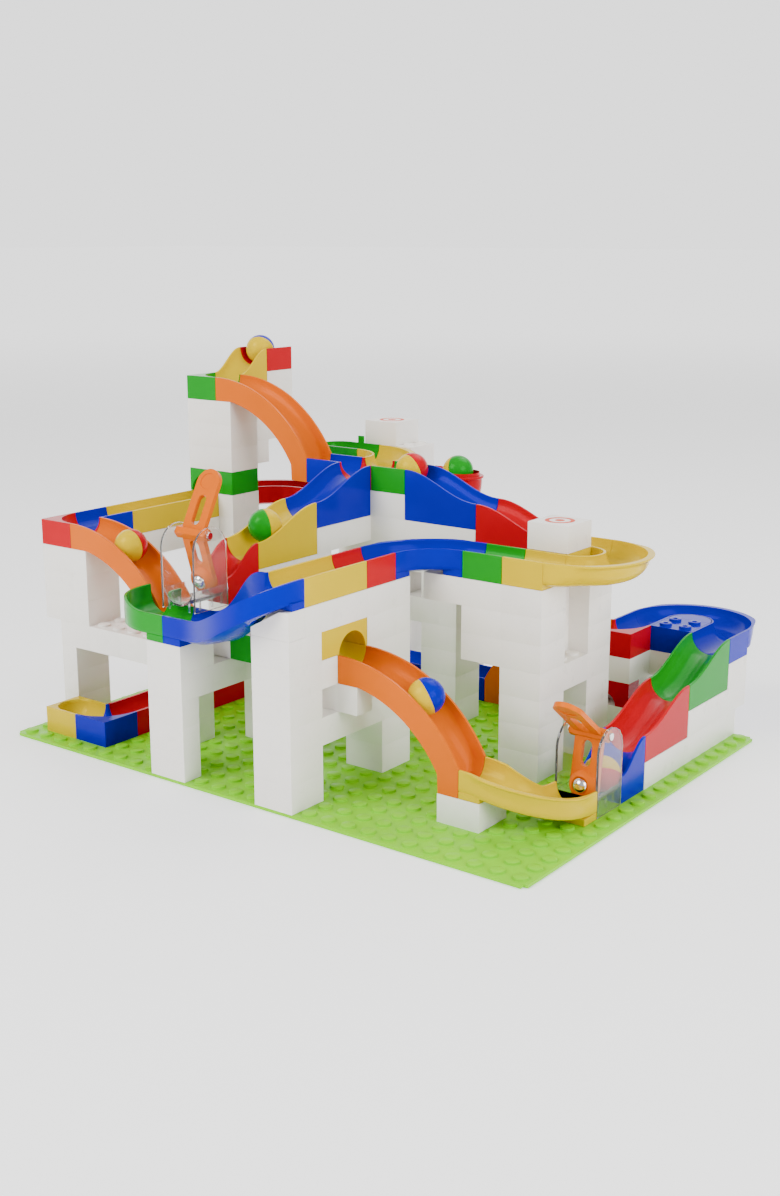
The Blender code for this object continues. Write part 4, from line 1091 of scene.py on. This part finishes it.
ball("ball_yellow_blue_start", 0, 17.6, 13.9, "yellow", "blue", (-0.38, 0.83, 0.41))
ball("ball_yellow_red_slide", 4.0, 4, 7.31, "yellow", "red", (0.003, 0.993, 0.112))
ball("ball_green_yellow_ramp", 10, 6.55, 8.34, "green", "yellow", (0.45, 0.86, 0.1))
ball("ball_yellow_red_upper", 12.7, 14, 9.9, "yellow", "red", (0.33, 0.81, 0.35))
ball("ball_green_yellow_cup", 12.6, 18, 9.4, "green", "yellow", (-0.951, 0.015, -0.30))
ball("ball_blue_yellow_slide", 20.75, 4, 3.94, "blue", "yellow", (-0.6, -0.78, -0.4))
ball("ball_red_yellow_lever", 26, 9.06, 0.925, "red", "yellow", (-0.3, 0.55, 0.75))


# ---- floor, light, camera ----------------------------------------------------------------------
CAMERA_AT, CAMERA_TARGET, CAMERA_ROLL = (0.6290, -0.8254, 0.3660), (0.01754, -0.01466, 0.11292), -0.039
LENS, SENSOR = 44.15, 36.0
FLOOR_HALF, FLOOR_Z = 30.0, -0.0003
FLOOR_GLOW = (("From Min", 0.6), ("From Max", 5.0), ("To Min", 0.35), ("To Max", 1.15))
BACKDROP_SIDE = (-0.6, 0.8, 0.0)
WORLD_GLOW = (("From Min", 0.35), ("From Max", 0.85), ("To Min", 0.6), ("To Max", 1.9))
LAMPS = (
    ("key", (-0.6, -1.4, 1.3), 1.0, 40.0),
    ("fill", (1.6, -0.3, 0.8), 1.0, 28.0),
    ("back", (0.2, 1.0, 1.7), 1.2, 18.0),
)


def glow(tree, source, settings, target):
    """Smooth step from one strength to another, driven by source."""
    step = tree.nodes.new("ShaderNodeMapRange")
    step.interpolation_type = "SMOOTHSTEP"
    for key, value in settings:
        step.inputs[key].default_value = value
    tree.links.new(source, step.inputs["Value"])
    tree.links.new(step.outputs["Result"], target)


def floor_paper():
    """Matt white paper that glows more with distance, so that it runs into the backdrop."""
    mat = bpy.data.materials.new("floor_paper")
    mat.use_nodes = True
    tree = mat.node_tree
    shader = tree.nodes["Principled BSDF"]
    place = tree.nodes.new("ShaderNodeTexCoord")
    grain = node(tree, "ShaderNodeTexNoise", Scale=40.0, Detail=2.0)
    tree.links.new(place.outputs["Object"], grain.inputs["Vector"])
    ramp = tree.nodes.new("ShaderNodeValToRGB")
    ramp.color_ramp.elements[0].color = (0.93, 0.93, 0.93, 1)
    ramp.color_ramp.elements[1].color = (0.96, 0.96, 0.96, 1)
    tree.links.new(grain.outputs["Fac"], ramp.inputs["Fac"])
    tree.links.new(ramp.outputs["Color"], shader.inputs["Base Color"])
    shader.inputs["Roughness"].default_value = 0.8
    shader.inputs["Emission Color"].default_value = (1, 1, 1, 1)
    reach = tree.nodes.new("ShaderNodeVectorMath")
    reach.operation = "LENGTH"
    tree.links.new(place.outputs["Object"], reach.inputs[0])
    glow(tree, reach.outputs["Value"], FLOOR_GLOW, shader.inputs["Emission Strength"])
    return mat


def studio_world():
    """White surroundings, brighter on the backdrop's side."""
    world = bpy.data.worlds.new("studio")
    world.use_nodes = True
    tree = world.node_tree
    sky = tree.nodes["Background"]
    sky.inputs["Color"].default_value = (1, 1, 1, 1)
    place = tree.nodes.new("ShaderNodeTexCoord")
    facing = tree.nodes.new("ShaderNodeVectorMath")
    facing.operation = "DOT_PRODUCT"
    facing.inputs[1].default_value = BACKDROP_SIDE
    tree.links.new(place.outputs["Generated"], facing.inputs[0])
    glow(tree, facing.outputs["Value"], WORLD_GLOW, sky.inputs["Strength"])
    return world


def stage():
    """Floor, surroundings, three soft lamps and the camera."""
    scene = bpy.context.scene
    floor_mesh = bpy.data.meshes.new("floor")
    bm = bmesh.new()
    bmesh.ops.create_grid(bm, x_segments=2, y_segments=2, size=FLOOR_HALF)
    bm.to_mesh(floor_mesh)
    bm.free()
    floor = bpy.data.objects.new("floor", floor_mesh)
    scene.collection.objects.link(floor)
    floor.location.z = FLOOR_Z
    floor_mesh.materials.append(floor_paper())
    scene.world = studio_world()

    middle = Vector((0, 0, 0.1))
    for name, location, size, power in LAMPS:
        light = bpy.data.lights.new(name, "AREA")
        light.shape, light.size, light.energy = "SQUARE", size, power
        lamp = bpy.data.objects.new(name, light)
        lamp.location = location
        lamp.rotation_euler = (middle - Vector(location)).to_track_quat("-Z", "Y").to_euler()
        scene.collection.objects.link(lamp)

    camera = bpy.data.cameras.new("photo_view")
    camera.lens, camera.sensor_width, camera.clip_start = LENS, SENSOR, 0.01
    holder = bpy.data.objects.new("photo_view", camera)
    scene.collection.objects.link(holder)
    holder.location = CAMERA_AT
    look = Vector(CAMERA_TARGET) - holder.location
    roll = Matrix.Rotation(math.radians(CAMERA_ROLL), 4, "Z").to_quaternion()
    holder.rotation_mode = "QUATERNION"
    holder.rotation_quaternion = look.to_track_quat("-Z", "Y") @ roll
    scene.camera = holder


stage()
